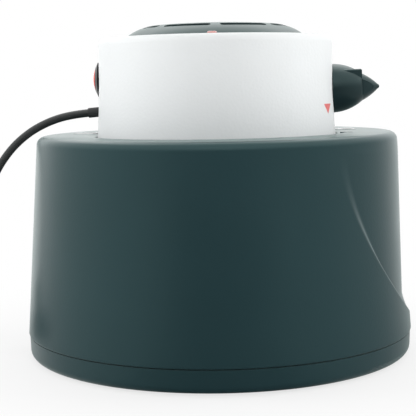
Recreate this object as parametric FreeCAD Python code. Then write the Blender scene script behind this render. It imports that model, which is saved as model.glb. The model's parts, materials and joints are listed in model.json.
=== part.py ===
import FreeCAD, Part
import math
import os
from FreeCAD import Vector as V

# Wallpaper steamer: a water tank with a twist-on steam head. Millimetres, +Z up.
# The origin is the centre of the base on the surface that the feet stand on.
# The control knob is on +X, the switch and the mains cord are on -X.

# Tank
SEAM_R = 160.0            # outside of the tank at the seam above the base tray
SEAM_GAP = 0.8
TANK_H = 161.4            # from the seam up to the deck
TANK_SLOPE = 0.072        # the wall leans in by this much for each mm up
SHOULDER_R = 6.5
TANK_WALL = 3.0
DISH_W = 8.3              # the deck dips towards the head over this width
DISH_DROP = 1.3
HEAD_GAP = 2.0            # between the head's foot and the deck's edge round it
SINK_DEPTH = 2.1          # floor of the recess that the head stands in, below the dip
TICK_AZ = -12.5           # raised mark on the deck that the head's pointer meets

# Hollow in the tank's right side
HOLLOW_HALF_W = 121.0     # half width of its half-elliptic edge
HOLLOW_DOWN = 15.0        # from the deck down to the edge's widest place
HOLLOW_UP = 9.4            # from the seam up to the edge's lowest point
HOLLOW_DEPTH = 5.3        # at its foot, fading to nothing near the deck
HOLLOW_FADE = 13.0        # below the deck
HOLLOW_FLARE_H = 18.5     # its foot sweeps out to the wall over this height
HOLLOW_FLARE_BOW = 0.9

# Base tray, feet and screws
TRAY_LIFT = 1.6           # the feet stand out below the tray by this much
TRAY_H = 18.2
TRAY_EDGE_R = 6.0
TRAY_WALL = 3.0
TRAY_STEP = 0.7           # the tray's rim lies in from the tank's wall by this much
LIP_H = 4.7               # the tray's lip stands this far up inside the tank
LIP_WALL = 2.4
FOOT_R = 11.0
FOOT_IN = 32.0            # from the seam's radius in to the middle of a foot
BASE_SCREW_IN = 14.0
BASE_BOSS_UP = 6.2        # from the tray's rim up to the tank's bosses
BASE_BOSS_H = 24.0
BOSS_R = 4.5
SCREW_R = 1.75
SCREW_HEAD_R = 3.4
SCREW_HEAD_H = 2.2
SCREW_PLAY = 0.1          # round a screw in its thread
HOLE_PLAY = 0.25          # round a screw in the piece that it holds
BASE_SCREW_BITE = 18.0    # how deep a screw goes into its boss
RIM_SCREW_BITE = 9.5
NECK_SCREW_BITE = 7.2
HEAD_SCREW_BITE = 9.3
DISH_SCREW_BITE = 5.0
CLAMP_SCREW_L = 14.0
SCREW_COUNT = 6
SCREW_AZ = 30.0

# Water tank, hung under the deck
LINER_IN = 22.4           # from the tank's outside at the deck in to the water tank's outside
LINER_DRAFT = 6.0
LINER_WALL = 2.4
LINER_SUPPORT_H = 19.6    # from the tray's floor to the water tank's floor
LINER_EDGE_R = 12.0
RIM_DOWN = 13.0           # from under the deck to the water tank's rim
RIM_T = 3.0
RIM_W = 10.0
RIM_BOSS_R = 3.6
TANK_SEAL_H = 2.5
TANK_SEAL_W = 3.6

# Neck with its bayonet
SPIGOT_IN = 24.5          # from the head's foot in to the spigot under its floor
SPIGOT_WALL = 3.2
LUG_REACH = 5.0
LUG_SPAN = 30.0           # degrees
LUG_H = 4.6
LUG_COUNT = 3
LUG_AZ = -30.0
LEDGE_DOWN = 8.6          # from the neck's flange down to the ledges
LEDGE_H = 5.0
LEDGE_GAP = 0.4
NOTCH_PLAY = 3.0          # degrees on each side of a lug
TURN_RANGE = 35.0
NECK_WALL = 4.2
NECK_BELOW = 6.0          # the neck reaches below the lugs by this much
NECK_FLANGE_W = 8.7
FIT = 0.5                 # between the neck and what turns in it
SEAL_GAP = 0.3            # round the rubber seal

# Head
HEAD_FOOT_R = 98.7
HEAD_WAIST = 1.6          # how far the flared wall has come in at its middle point
HEAD_LEAN = 2.3           # and at its top
HEAD_SEAT = 1.0           # gap under the head's foot
HEAD_H = 81.2
HEAD_WAIST_H = 27.4
HEAD_EDGE_R = 5.4
HEAD_WALL = 2.6
HEAD_TOP_WALL = 3.0
TOP_HOLE_IN = 29.8         # from the top of the head's wall in to the hole that the cap covers
FLOOR_UP = 1.0            # the head's floor lies this far up inside its foot
FLOOR_H = 3.4
FLOOR_PLAY = 0.9
HEAD_SCREW_IN = 10.7
HEAD_BOSS_R = 4.0
HEAD_BOSS_H = 12.0

# Boiler
BOILER_R = 34.0
BOILER_WALL = 2.4
BOILER_FLANGE_W = 12.5
BOILER_FLANGE_H = 2.0
BOILER_CLEAR = 13.4       # over the water tank's floor
BOILER_PLAY = 0.3
COLLAR_H = 7.0
GASKET_H = 2.0
HEATER_PLATE_H = 2.5
HEATER_SCREW_OUT = 7.0
STRAINER_WALL = 2.0
STRAINER_H = 13.0
INLET_R = 4.0
INLET_UP = 20.0
ELEMENT_R = 3.5
ELEMENT_PITCH = 14.0      # between its legs
ELEMENT_CLEAR = 20.0      # from the boiler's foot up to the middle of the low bends
ELEMENT_DOWN = 38.0       # from the heater plate down to the middle of the high bend
ELEMENT_COLD = 9.0        # its ends stand this far over the heater plate
PIN_R = 1.4
PIN_H = 8.0
CUTOUT_Y = -24.0
CUTOUT_R = 8.0
CUTOUT_H = 9.0

# Outlet dish, pipes and hose spigot
PIPE_R = 8.0
PIPE_WALL = 2.0
PIPE_FLANGE_R = 13.0
RELIEF_Y = 27.0
RELIEF_R = 4.0
RELIEF_BORE_R = 2.5
PIPE_FLANGE_H = 2.0
DISH_PLAY = 0.2
DISH_WALL = 2.2
DISH_FLOOR_H = 2.6
DISH_DEPTH = 15.7
EAR_OUT = 17.2            # from the head's top hole out to the dish's screws
EAR_H = 2.5
EAR_DOWN = 6.2            # from the head's top down to the ears
EAR_HALF_W = 5.0
EAR_BOSS_R = 3.4
EAR_AZ = 45.0
EAR_COUNT = 4
HOSE_SPIGOT_R = 10.0
HOSE_SPIGOT_BORE_R = 6.0
HOSE_SPIGOT_H = 22.4      # over the dish's floor
HOSE_FLANGE_R = 15.0
HOSE_FLANGE_H = 3.0
HOSE_STUB_R = 9.5
HOSE_STUB_H = 8.8
NUT_H = 3.8
VALVE_HEX_R = 9.5
VALVE_HEX_H = 6.0
VALVE_CAP_R = 7.0
VALVE_CAP_H = 9.0
VALVE_STUB_R = 5.9

# Slotted cap
CAP_LAP = 7.5             # it covers the head's top round the hole by this much
CAP_LIFT = 0.3
CAP_H = 11.4
CAP_KNEE_IN = 20.3        # from the edge in to where the slope meets the flat crown
CAP_KNEE_H = 9.3
CAP_SIDE_IN = 11.7        # a point on the slope, in from the edge and up
CAP_SIDE_H = 6.9
CAP_WALL = 2.5
CAP_LEG_T = 2.4
CAP_LEG_W = 7.0
CAP_LEG_H = 8.0           # below the cap's foot
SLOT_IN = 14.5            # from the cap's edge in to the middle of the slots
SLOT_W = 5.5
SLOT_COUNT = 8
SLOT_SPAN = 32.8          # degrees between the middles of its round ends

# Control knob on the right
KNOB_UP = 37.6            # above the head's foot
KNOB_R = 20.1
KNOB_LEN = 40.6
KNOB_BOW_AT = 14.0        # the skirt bows in to this radius at this distance
KNOB_BOW_R = 18.0
KNOB_NECK_AT = 26.0
KNOB_NECK_R = 11.3
KNOB_MID_AT = 33.4        # and bows in again to this radius
KNOB_MID_R = 6.9
KNOB_NOSE_R = 2.0         # where the pointed end rounds off
KNOB_NOSE_L = 1.5
KNOB_WALL = 2.4
KNOB_HOLLOW = 9.0
KNOB_HUB_R = 6.2
KNOB_HUB_IN = 4.5
KNOB_GAP = 0.6            # between the skirt and the flat that it turns on
FLAT_IN = 2.0             # the flat lies this far inside the head's wall
FLAT_PLAY = 0.9           # round the skirt
SKIRT_END = 24.4          # the blade stands clear of the skirt beyond here
SCOOP_R = 1.8
RIB_R = 14.9              # height of the blade's flat top over the knob's axis
RIB_AT = 6.0
RIB_END = 25.4
RIB_EDGE_R = 1.4
BLADE_BACK_W = 13.2       # the blade's half width at its back, at its middle and at the tip
BLADE_MID_W = 11.3
BLADE_MID_AT = 20.0
BLADE_TIP_W = 2.4
SHAFT_R = 3.0
SHAFT_PLAY = 0.05
SHAFT_SEAT = 12.8         # into the knob
REGULATOR_R = 16.5
REGULATOR_LEN = 26.0
REGULATOR_GAP = 0.1       # behind the flat's back
BUSH_R = 4.7
BUSH_PLAY = 0.2
PANEL_NUT_R = 8.0
PANEL_NUT_H = 2.0

# Switch on the left
SWITCH_UP = 48.1
BEZEL_R = 14.2
BEZEL_OUT = 2.4
BEZEL_EDGE = 0.4
BARREL_R = 11.3
BARREL_PLAY = 0.2
BARREL_LEN = 27.0
ROCKER_R = 9.8            # ball that its sides follow, about its pivot
ROCKER_PLAY = 0.3
ROCKER_PIVOT_IN = 2.6     # from the bezel's rim in to the pivot
ROCKER_FACE_R = 9.2
ROCKER_OUT = 2.4
ROCKER_BACK = 6.0
ROCKER_TILT = 6.0         # degrees either side of the middle. Its front half stands out at rest

# Indicator lamp on the head's top
LENS_R = 4.0
LENS_IN = 16.6            # from the top of the head's wall in to the lens
LENS_AZ = -92.0
LENS_OUT = 1.8
LENS_EDGE = 1.4
LAMP_H = 16.5

# Cord entry on the left
GLAND_UP = 21.6
GLAND_R = 4.1
GLAND_OUT = 9.0
GLAND_DROOP = 5.0         # degrees that the sleeve points down
GLAND_FLANGE_R = 6.5
GLAND_FLANGE_H = 5.4
GLAND_FLANGE_GAP = 1.0    # behind the wall's inside, so that the tilted flange clears it
GLAND_TAIL = 3.6          # the sleeve goes on behind its flange by this much
CORD_D = 6.5
CORD_PLAY = 0.1
CORD_TAIL_BEND_R = 60.0   # where it levels out inside the head
SADDLE_IN = 25.4          # from the head's foot in to the middle of the cord anchorage
SADDLE_L = 10.0
SADDLE_HALF_W = 13.0
SADDLE_SCREW_Y = 9.0
STRAP_H = 2.0
TERMINAL_GAP = 0.8        # from the boiler's flange out to the terminals
TERMINAL_L = 11.0
TERMINAL_HALF_W = 14.0

# Mains cord on the floor
COIL_X = -268.0
COIL_Y = 45.0
COIL_OUT_R = 49.0
COIL_PITCH = 7.0
COIL_LAYER = 7.0
COIL_LOW_TURNS = 3.25     # turns on each layer, with half a turn between them to climb
COIL_HIGH_TURNS = 3.5
TIE_T = 1.2
TIE_W = 8.0
TIE_AZ = 60.0
TIE_PLAY = 0.2
PLUG_SLEEVE = 16.0
PLUG_LEN = 36.0
PLUG_PIN_R = 2.4
PLUG_PIN_LEN = 19.0
PLUG_PIN_Y = 9.5

# Heights and radii that follow
TRAY_TOP_Z = TRAY_LIFT + TRAY_H
TRAY_FLOOR_Z = TRAY_LIFT + TRAY_WALL
SHELL_FOOT_Z = TRAY_TOP_Z + SEAM_GAP
BASE_BOSS_Z = TRAY_TOP_Z + BASE_BOSS_UP
BASE_SCREW_CIRCLE_R = SEAM_R - BASE_SCREW_IN
FOOT_CIRCLE_R = SEAM_R - FOOT_IN
DECK_Z = SHELL_FOOT_Z + TANK_H
DECK_UNDER_Z = DECK_Z - TANK_WALL
HOLLOW_DROP = TANK_H - HOLLOW_DOWN - HOLLOW_UP
SINK_R = HEAD_FOOT_R + HEAD_GAP
DISH_R = SINK_R + DISH_W
DIP_Z = DECK_Z - DISH_DROP
SINK_Z = DIP_Z - SINK_DEPTH
NECK_SEAT_Z = SINK_Z - TANK_WALL
NECK_UNDER_Z = NECK_SEAT_Z - TANK_WALL
RIM_Z = DECK_UNDER_Z - RIM_DOWN
LINER_TOP_R = SEAM_R - TANK_SLOPE * TANK_H - LINER_IN
RIM_SCREW_CIRCLE_R = LINER_TOP_R + RIM_W - RIM_BOSS_R - 0.2
SEAL_OUT_R = RIM_SCREW_CIRCLE_R - RIM_BOSS_R - 0.2
SEAL_IN_R = SEAL_OUT_R - TANK_SEAL_W
LINER_FLOOR_Z = TRAY_FLOOR_Z + LINER_SUPPORT_H
LEDGE_TOP_Z = SINK_Z - LEDGE_DOWN
LEDGE_Z = LEDGE_TOP_Z - LEDGE_H
LUG_TOP_Z = LEDGE_Z - LEDGE_GAP
LUG_Z = LUG_TOP_Z - LUG_H
SPIGOT_R = HEAD_FOOT_R - SPIGOT_IN
LUG_R = SPIGOT_R + LUG_REACH
NECK_IN_R = LUG_R + FIT
NECK_OUT_R = NECK_IN_R + NECK_WALL
NECK_FLANGE_R = NECK_OUT_R + NECK_FLANGE_W
NECK_SCREW_CIRCLE_R = NECK_OUT_R + NECK_FLANGE_W / 2 + 0.25
HEAD_FOOT_Z = SINK_Z + HEAD_SEAT
HEAD_TOP_Z = HEAD_FOOT_Z + HEAD_H
HEAD_UNDER_Z = HEAD_TOP_Z - HEAD_TOP_WALL
HEAD_TOP_R = HEAD_FOOT_R - HEAD_LEAN
TOP_HOLE_R = HEAD_TOP_R - TOP_HOLE_IN
HEAD_SCREW_CIRCLE_R = HEAD_FOOT_R - HEAD_SCREW_IN
FLOOR_Z = HEAD_FOOT_Z + FLOOR_UP
FLOOR_TOP_Z = FLOOR_Z + FLOOR_H
BOILER_FOOT_Z = LINER_FLOOR_Z + LINER_WALL + BOILER_CLEAR
BOILER_FLANGE_R = BOILER_R + BOILER_FLANGE_W
HEATER_SCREW_CIRCLE_R = BOILER_R + HEATER_SCREW_OUT
GASKET_Z = FLOOR_TOP_Z + BOILER_FLANGE_H
HEATER_Z = GASKET_Z + GASKET_H
HEATER_TOP_Z = HEATER_Z + HEATER_PLATE_H
DISH_FLOOR_Z = HEAD_UNDER_Z - DISH_DEPTH
DISH_TOP_Z = DISH_FLOOR_Z + DISH_FLOOR_H
PIPE_TOP_Z = DISH_FLOOR_Z - 4.2
EAR_CIRCLE_R = TOP_HOLE_R + EAR_OUT
EAR_Z = HEAD_UNDER_Z - EAR_DOWN - EAR_H
CAP_R = TOP_HOLE_R + CAP_LAP
CAP_FOOT_Z = HEAD_TOP_Z + CAP_LIFT
KNOB_Z = HEAD_FOOT_Z + KNOB_UP
SWITCH_Z = HEAD_FOOT_Z + SWITCH_UP
GLAND_Z = HEAD_FOOT_Z + GLAND_UP
SADDLE_X = SADDLE_IN - HEAD_FOOT_R
TERMINAL_X = -BOILER_FLANGE_R - TERMINAL_GAP - TERMINAL_L / 2
COIL_Z = CORD_D / 2 + TIE_T + TIE_PLAY / 2


def at_axis(r, z):
    """Point of an outline that turns about the tank's axis."""
    return V(r, 0, z)


def outline(place, steps):
    """Face with a closed edge. A step is a point, or a pair of points for an arc's middle and end."""
    start = place(*steps[0])
    here = start
    edges = []
    for step in steps[1:]:
        if isinstance(step[0], tuple):
            middle, end = place(*step[0]), place(*step[1])
            edges.append(Part.Arc(here, middle, end).toShape())
        else:
            end = place(*step)
            edges.append(Part.makeLine(here, end))
        here = end
    if (here - start).Length > 1e-6:
        edges.append(Part.makeLine(here, start))
    return Part.Face(Part.Wire(edges))


def turned(*steps):
    """Solid turned about the tank's axis, from points (radius, height)."""
    return outline(at_axis, steps).revolve(V(0, 0, 0), V(0, 0, 1), 360)


def turned_side(side, height, *steps):
    """Solid turned about a level axis along X, from points (radius, distance out), side +1 or -1."""
    face = outline(lambda r, out: V(side * out, 0, height + r), steps)
    return face.revolve(V(0, 0, height), V(1, 0, 0), 360)


def rod(radius, low, high, x=0.0, y=0.0):
    return Part.makeCylinder(radius, high - low, V(x, y, low))


def tube(outer, inner, low, high, x=0.0, y=0.0):
    return rod(outer, low, high, x, y).cut(rod(inner, low, high, x, y))


def level_rod(radius, start, end, height, y=0.0):
    """Cylinder along X between two values of X."""
    low, high = min(start, end), max(start, end)
    return Part.makeCylinder(radius, high - low, V(low, y, height), V(1, 0, 0))


def block(x0, x1, y0, y1, z0, z1):
    return Part.makeBox(x1 - x0, y1 - y0, z1 - z0, V(x0, y0, z0))


def sector(inner, outer, low, high, first, last):
    """Piece of a ring between two directions, in degrees from +X."""
    face = outline(at_axis, [(inner, low), (outer, low), (outer, high), (inner, high)])
    return spun(face.revolve(V(0, 0, 0), V(0, 0, 1), last - first), first)


def polar(radius, degrees):
    return radius * math.cos(math.radians(degrees)), radius * math.sin(math.radians(degrees))


def spun(shape, degrees):
    copy = shape.copy()
    copy.rotate(V(0, 0, 0), V(0, 0, 1), degrees)
    return copy


def around(count, first, shape):
    """Copies of a shape made at +X, spaced evenly round the tank's axis."""
    return [spun(shape, first + 360.0 * k / count) for k in range(count)]


def hexagon(radius, low, high, x=0.0, y=0.0):
    corners = [polar(radius, 60 * k) for k in range(7)]
    edge = Part.makePolygon([V(x + cx, y + cy, low) for cx, cy in corners])
    return Part.Face(edge).extrude(V(0, 0, high - low))


def fused(first, *others):
    return first.fuse(list(others)) if others else first


def cut(shape, *tools):
    return shape.cut(list(tools))


def softened(shape, radius, height, edge_radius=None):
    """Fillet on the round edges at one height, or at one height and radius."""
    picked = []
    for edge in shape.Edges:
        box = edge.BoundBox
        if abs(box.ZMin - height) < 0.02 and abs(box.ZMax - height) < 0.02:
            far = max(abs(box.XMin), abs(box.XMax), abs(box.YMin), abs(box.YMax))
            if edge_radius is None or abs(far - edge_radius) < 0.05:
                picked.append(edge)
    return shape.makeFillet(radius, picked)


def screw(seat, circle_r, length, up=True, head_h=SCREW_HEAD_H, y=0.0):
    """Pan-head screw at +X, with the underside of its head at the seat."""
    if up:
        head = rod(SCREW_HEAD_R, seat - head_h, seat, circle_r, y)
        return head.fuse(rod(SCREW_R, seat - head_h / 2, seat + length, circle_r, y))
    head = rod(SCREW_HEAD_R, seat, seat + head_h, circle_r, y)
    return head.fuse(rod(SCREW_R, seat - length, seat + head_h / 2, circle_r, y))


def save(name, shape):
    pieces = shape.removeSplitter().Solids
    whole = pieces[0] if len(pieces) == 1 else Part.makeCompound(pieces)
    if not pieces or not whole.isValid():
        raise ValueError(name + " is not a valid solid")
    whole.exportStep("parts/" + name + ".step")


def tank_r(z):
    """Outside radius of the tank's wall at a height."""
    return SEAM_R - TANK_SLOPE * (z - TRAY_TOP_Z - SEAM_GAP / 2)


def hollow_tool(inset):
    """What the hollow takes out of the tank's side. The inset gives the inside of the wall."""
    flare_z = DECK_Z - HOLLOW_DOWN - HOLLOW_DROP
    low_z = flare_z + HOLLOW_FLARE_H
    fade_z = DECK_Z - HOLLOW_FADE
    flare_r = tank_r(flare_z)
    low_r = tank_r(low_z) - HOLLOW_DEPTH
    lean = (tank_r(fade_z) - low_r) / (fade_z - low_z)
    top_z = DECK_Z + SHOULDER_R
    top_r = low_r + lean * (top_z - low_z)
    bow = ((low_r + flare_r) / 2 - inset - HOLLOW_FLARE_BOW, (low_z + flare_z) / 2 - HOLLOW_FLARE_BOW)
    far = SEAM_R + 20
    kept = turned(
        (0, 0), (far, 0), (far, flare_z - 12), (flare_r + 4 - inset, flare_z - 6), (flare_r - inset, flare_z),
        (bow, (low_r - inset, low_z)), (top_r - inset, top_z), (0, top_z))
    grow = inset / 2
    near = SEAM_R * 0.4
    middle_z = DECK_Z - HOLLOW_DOWN
    edge = Part.Ellipse(V(near, 0, middle_z + HOLLOW_DROP + grow), V(near, HOLLOW_HALF_W + grow, middle_z),
                        V(near, 0, middle_z)).toShape()
    prism = Part.Face(Part.Wire([edge])).extrude(V(far - near, 0, 0))
    return prism.cut(kept)


def tank_shell():
    foot_r, deck_r = tank_r(SHELL_FOOT_Z), tank_r(DECK_Z)
    body = turned((0, SHELL_FOOT_Z), (foot_r, SHELL_FOOT_Z), (deck_r, DECK_Z), (0, DECK_Z))
    body = softened(body, SHOULDER_R, DECK_Z).cut(hollow_tool(0.0))
    low = SHELL_FOOT_Z - 1
    side_r = tank_r(DECK_UNDER_Z) - TANK_WALL
    seat_r = NECK_FLANGE_R + TANK_WALL + 0.6
    inside = turned(
        (0, low), (tank_r(low) - TANK_WALL, low), (side_r, DECK_UNDER_Z), (SINK_R + TANK_WALL, DECK_UNDER_Z),
        (SINK_R + TANK_WALL, NECK_SEAT_Z), (seat_r, NECK_SEAT_Z), (seat_r, NECK_UNDER_Z), (0, NECK_UNDER_Z))
    inside = softened(inside, SHOULDER_R - TANK_WALL, DECK_UNDER_Z, side_r).cut(hollow_tool(TANK_WALL))
    above = DECK_Z + 5
    mouth_r = NECK_OUT_R + FIT / 2
    flange_r = NECK_FLANGE_R + FIT
    well = turned(
        (0, NECK_UNDER_Z - 5), (mouth_r, NECK_UNDER_Z - 5), (mouth_r, NECK_SEAT_Z), (flange_r, NECK_SEAT_Z),
        (flange_r, SINK_Z), (SINK_R, SINK_Z), (SINK_R, DIP_Z), (DISH_R, DECK_Z), (DISH_R, above), (0, above))
    rib = tube(SEAL_OUT_R, SEAL_IN_R, RIM_Z + TANK_SEAL_H, DECK_UNDER_Z + 0.5)
    rim_boss = rod(RIM_BOSS_R, RIM_Z, DECK_UNDER_Z + 0.5, RIM_SCREW_CIRCLE_R)
    neck_boss = rod(RIM_BOSS_R, NECK_UNDER_Z - 10, NECK_UNDER_Z + 0.5, NECK_SCREW_CIRCLE_R)
    boss_top_z = BASE_BOSS_Z + BASE_BOSS_H
    web = block(BASE_SCREW_CIRCLE_R, tank_r(boss_top_z) - TANK_WALL / 2, -1.2, 1.2, BASE_BOSS_Z, boss_top_z)
    base_boss = rod(BOSS_R, BASE_BOSS_Z, boss_top_z, BASE_SCREW_CIRCLE_R).fuse(web)
    shell = fused(cut(body, inside, well), rib, *around(SCREW_COUNT, 0, rim_boss),
                  *around(SCREW_COUNT, SCREW_AZ, neck_boss), *around(SCREW_COUNT, SCREW_AZ, base_boss))
    thread = SCREW_R + SCREW_PLAY
    rim_hole = rod(thread, RIM_Z - 1, RIM_Z + RIM_SCREW_BITE + 1.5, RIM_SCREW_CIRCLE_R)
    neck_hole = rod(thread, NECK_SEAT_Z - NECK_SCREW_BITE - 1, NECK_SEAT_Z + 1, NECK_SCREW_CIRCLE_R)
    base_hole = rod(thread, BASE_BOSS_Z - 1, BASE_BOSS_Z + BASE_SCREW_BITE + 2, BASE_SCREW_CIRCLE_R)
    shell = cut(shell, *around(SCREW_COUNT, 0, rim_hole), *around(SCREW_COUNT, SCREW_AZ, neck_hole),
                *around(SCREW_COUNT, SCREW_AZ, base_hole))
    tick = block(SINK_R + 3, SINK_R + 13, -0.9, 0.9, DIP_Z, DECK_Z + 0.5)
    save("tank_shell", shell.fuse(spun(tick, TICK_AZ)))


def base_tray():
    side = SEAM_R - TRAY_STEP
    low_r = side - 0.4
    slant = TRAY_EDGE_R * (1 - math.sqrt(0.5))
    lip_r = tank_r(TRAY_TOP_Z + LIP_H) - TANK_WALL - 0.3
    lip_in = lip_r - LIP_WALL
    lip_z = TRAY_TOP_Z + LIP_H
    body = turned(
        (0, TRAY_LIFT), (low_r - TRAY_EDGE_R, TRAY_LIFT),
        ((low_r - slant, TRAY_LIFT + slant), (low_r, TRAY_LIFT + TRAY_EDGE_R)), (side, TRAY_TOP_Z),
        (lip_r, TRAY_TOP_Z), (lip_r, lip_z), (lip_in, lip_z), (lip_in, TRAY_FLOOR_Z + 2),
        (lip_in - 2, TRAY_FLOOR_Z), (0, TRAY_FLOOR_Z))
    inner_ring_r, outer_ring_r, ring_w = 52.0, 88.0, 2.5
    rings = [tube(r + ring_w, r, TRAY_FLOOR_Z - 0.5, LINER_FLOOR_Z) for r in (inner_ring_r, outer_ring_r)]
    rib = block(inner_ring_r + 1, lip_in - 6, -1.1, 1.1, TRAY_FLOOR_Z - 0.5, LINER_FLOOR_Z - 3)
    column = rod(BOSS_R + 0.8, TRAY_FLOOR_Z - 0.5, BASE_BOSS_Z, BASE_SCREW_CIRCLE_R)
    tray = fused(body, *rings, *around(8, 22.5, rib), *around(SCREW_COUNT, SCREW_AZ, column))
    seat = TRAY_FLOOR_Z + 3.4
    recess = rod(SCREW_HEAD_R + HOLE_PLAY, TRAY_LIFT - 1, seat, BASE_SCREW_CIRCLE_R)
    hole = rod(SCREW_R + HOLE_PLAY, TRAY_LIFT, BASE_BOSS_Z + 1, BASE_SCREW_CIRCLE_R)
    pocket_z = TRAY_LIFT + TRAY_WALL / 2
    stem_r = FOOT_R / 3
    pocket = rod(FOOT_R + 0.3, TRAY_LIFT - 1, pocket_z, FOOT_CIRCLE_R)
    stem_hole = rod(stem_r + 0.1, TRAY_LIFT, TRAY_FLOOR_Z + 1, FOOT_CIRCLE_R)
    holes = around(SCREW_COUNT, SCREW_AZ, recess.fuse(hole))
    save("base_tray", cut(tray, *holes, *around(4, 45, pocket.fuse(stem_hole))))
    bolt = screw(seat, BASE_SCREW_CIRCLE_R, BASE_BOSS_Z + BASE_SCREW_BITE - seat)
    save("base_screws", Part.makeCompound(around(SCREW_COUNT, SCREW_AZ, bolt)))
    names = {45: "foot_back_right", 135: "foot_back_left", 225: "foot_front_left", 315: "foot_front_right"}
    for direction, name in names.items():
        pad = softened(rod(FOOT_R, 0, pocket_z, FOOT_CIRCLE_R), 0.8, 0.0)
        barb = Part.makeCone(stem_r + 1.1, stem_r - 0.3, 2.2, V(FOOT_CIRCLE_R, 0, TRAY_FLOOR_Z))
        foot = fused(pad, rod(stem_r, pocket_z - 0.5, TRAY_FLOOR_Z + 1, FOOT_CIRCLE_R), barb)
        save(name, spun(foot, direction))


def water_tank():
    rim_low = RIM_Z - RIM_T
    floor_top = LINER_FLOOR_Z + LINER_WALL
    corner_z = LINER_FLOOR_Z + LINER_EDGE_R
    low_r = LINER_TOP_R - LINER_DRAFT
    slant = LINER_EDGE_R * (1 - math.sqrt(0.5))
    in_low_r = low_r - LINER_WALL
    in_edge = LINER_EDGE_R - LINER_WALL
    in_slant = in_edge * (1 - math.sqrt(0.5))
    body = turned(
        (0, LINER_FLOOR_Z), (low_r - LINER_EDGE_R, LINER_FLOOR_Z),
        ((low_r - slant, LINER_FLOOR_Z + slant), (low_r, corner_z)), (LINER_TOP_R, rim_low),
        (LINER_TOP_R + RIM_W, rim_low), (LINER_TOP_R + RIM_W, RIM_Z), (LINER_TOP_R - LINER_WALL, RIM_Z),
        (in_low_r, corner_z), ((in_low_r - in_slant, floor_top + in_slant), (in_low_r - in_edge, floor_top)),
        (0, floor_top))
    hole = rod(SCREW_R + HOLE_PLAY, rim_low - 1, RIM_Z + 1, RIM_SCREW_CIRCLE_R)
    save("water_tank", cut(body, *around(SCREW_COUNT, 0, hole)))
    save("tank_seal", tube(SEAL_OUT_R, SEAL_IN_R, RIM_Z, RIM_Z + TANK_SEAL_H))
    bolt = screw(rim_low, RIM_SCREW_CIRCLE_R, RIM_T + RIM_SCREW_BITE)
    save("tank_screws", Part.makeCompound(around(SCREW_COUNT, 0, bolt)))


def neck():
    body = turned(
        (NECK_IN_R, LUG_Z - NECK_BELOW), (NECK_OUT_R, LUG_Z - NECK_BELOW), (NECK_OUT_R, NECK_SEAT_Z),
        (NECK_FLANGE_R, NECK_SEAT_Z), (NECK_FLANGE_R, SINK_Z), (NECK_IN_R, SINK_Z))
    pitch = 360.0 / LUG_COUNT
    half_notch = LUG_SPAN / 2 + NOTCH_PLAY
    bite = NECK_WALL / 4
    teeth = []
    for k in range(LUG_COUNT):
        centre = LUG_AZ + pitch * k
        teeth.append(sector(SPIGOT_R + FIT, NECK_IN_R + bite, LEDGE_Z, LEDGE_TOP_Z, centre + half_notch,
                            centre + pitch - half_notch))
        stop = centre + LUG_SPAN / 2 + TURN_RANGE + 1
        teeth.append(sector(SPIGOT_R + 2 * FIT, NECK_IN_R + bite, LUG_Z - 2, LEDGE_Z + 1, stop, stop + 4))
    hole = rod(SCREW_R + HOLE_PLAY, NECK_SEAT_Z - 1, SINK_Z + 1, NECK_SCREW_CIRCLE_R)
    head_h = TANK_WALL / 2
    seat = SINK_Z - head_h - 0.1
    recess = rod(SCREW_HEAD_R + HOLE_PLAY, seat, SINK_Z + 1, NECK_SCREW_CIRCLE_R)
    save("neck_ring", cut(fused(body, *teeth), *around(SCREW_COUNT, SCREW_AZ, hole.fuse(recess))))
    length = seat - NECK_SEAT_Z + NECK_SCREW_BITE
    bolt = screw(seat, NECK_SCREW_CIRCLE_R, length, up=False, head_h=head_h)
    save("neck_screws", Part.makeCompound(around(SCREW_COUNT, SCREW_AZ, bolt)))
    low, high = LEDGE_TOP_Z + SEAL_GAP, seal_top_z()
    seal = tube(NECK_IN_R - SEAL_GAP, SPIGOT_R + SEAL_GAP, low, high)
    save("neck_seal", softened(seal, 1.0, high))


def seal_top_z():
    """The seal fills the neck from the ledges to just under its rim."""
    return SINK_Z - 2.6


def bent_through(points, along):
    """How far across a circular arc lies at a distance along, from three of its points."""
    arc = Part.Arc(*[V(across, 0, place) for across, place in points])
    circle = arc.toShape().Curve
    centre, depth = circle.Center, along - circle.Center.z
    reach = math.sqrt(circle.Radius ** 2 - depth ** 2)
    return centre.x - reach if centre.x > points[1][0] else centre.x + reach


def head_wall_r(z):
    """Outside radius of the head's wall, on the arc through its foot, waist and top."""
    return bent_through([(HEAD_FOOT_R, HEAD_FOOT_Z), (HEAD_FOOT_R - HEAD_WAIST, HEAD_FOOT_Z + HEAD_WAIST_H),
                         (HEAD_TOP_R, HEAD_TOP_Z - HEAD_EDGE_R)], z)


def leant(shape):
    """Turned about the knob's place, so that a level axis stands square to the head's wall there."""
    slope = (head_wall_r(KNOB_Z - 1) - head_wall_r(KNOB_Z + 1)) / 2
    copy = shape.copy()
    copy.rotate(V(flat_x(), 0, KNOB_Z), V(0, 1, 0), -math.degrees(math.atan(slope)))
    return copy


def flat_x():
    """Distance of the knob's flat from the head's axis."""
    return head_wall_r(KNOB_Z) - FLAT_IN


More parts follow.
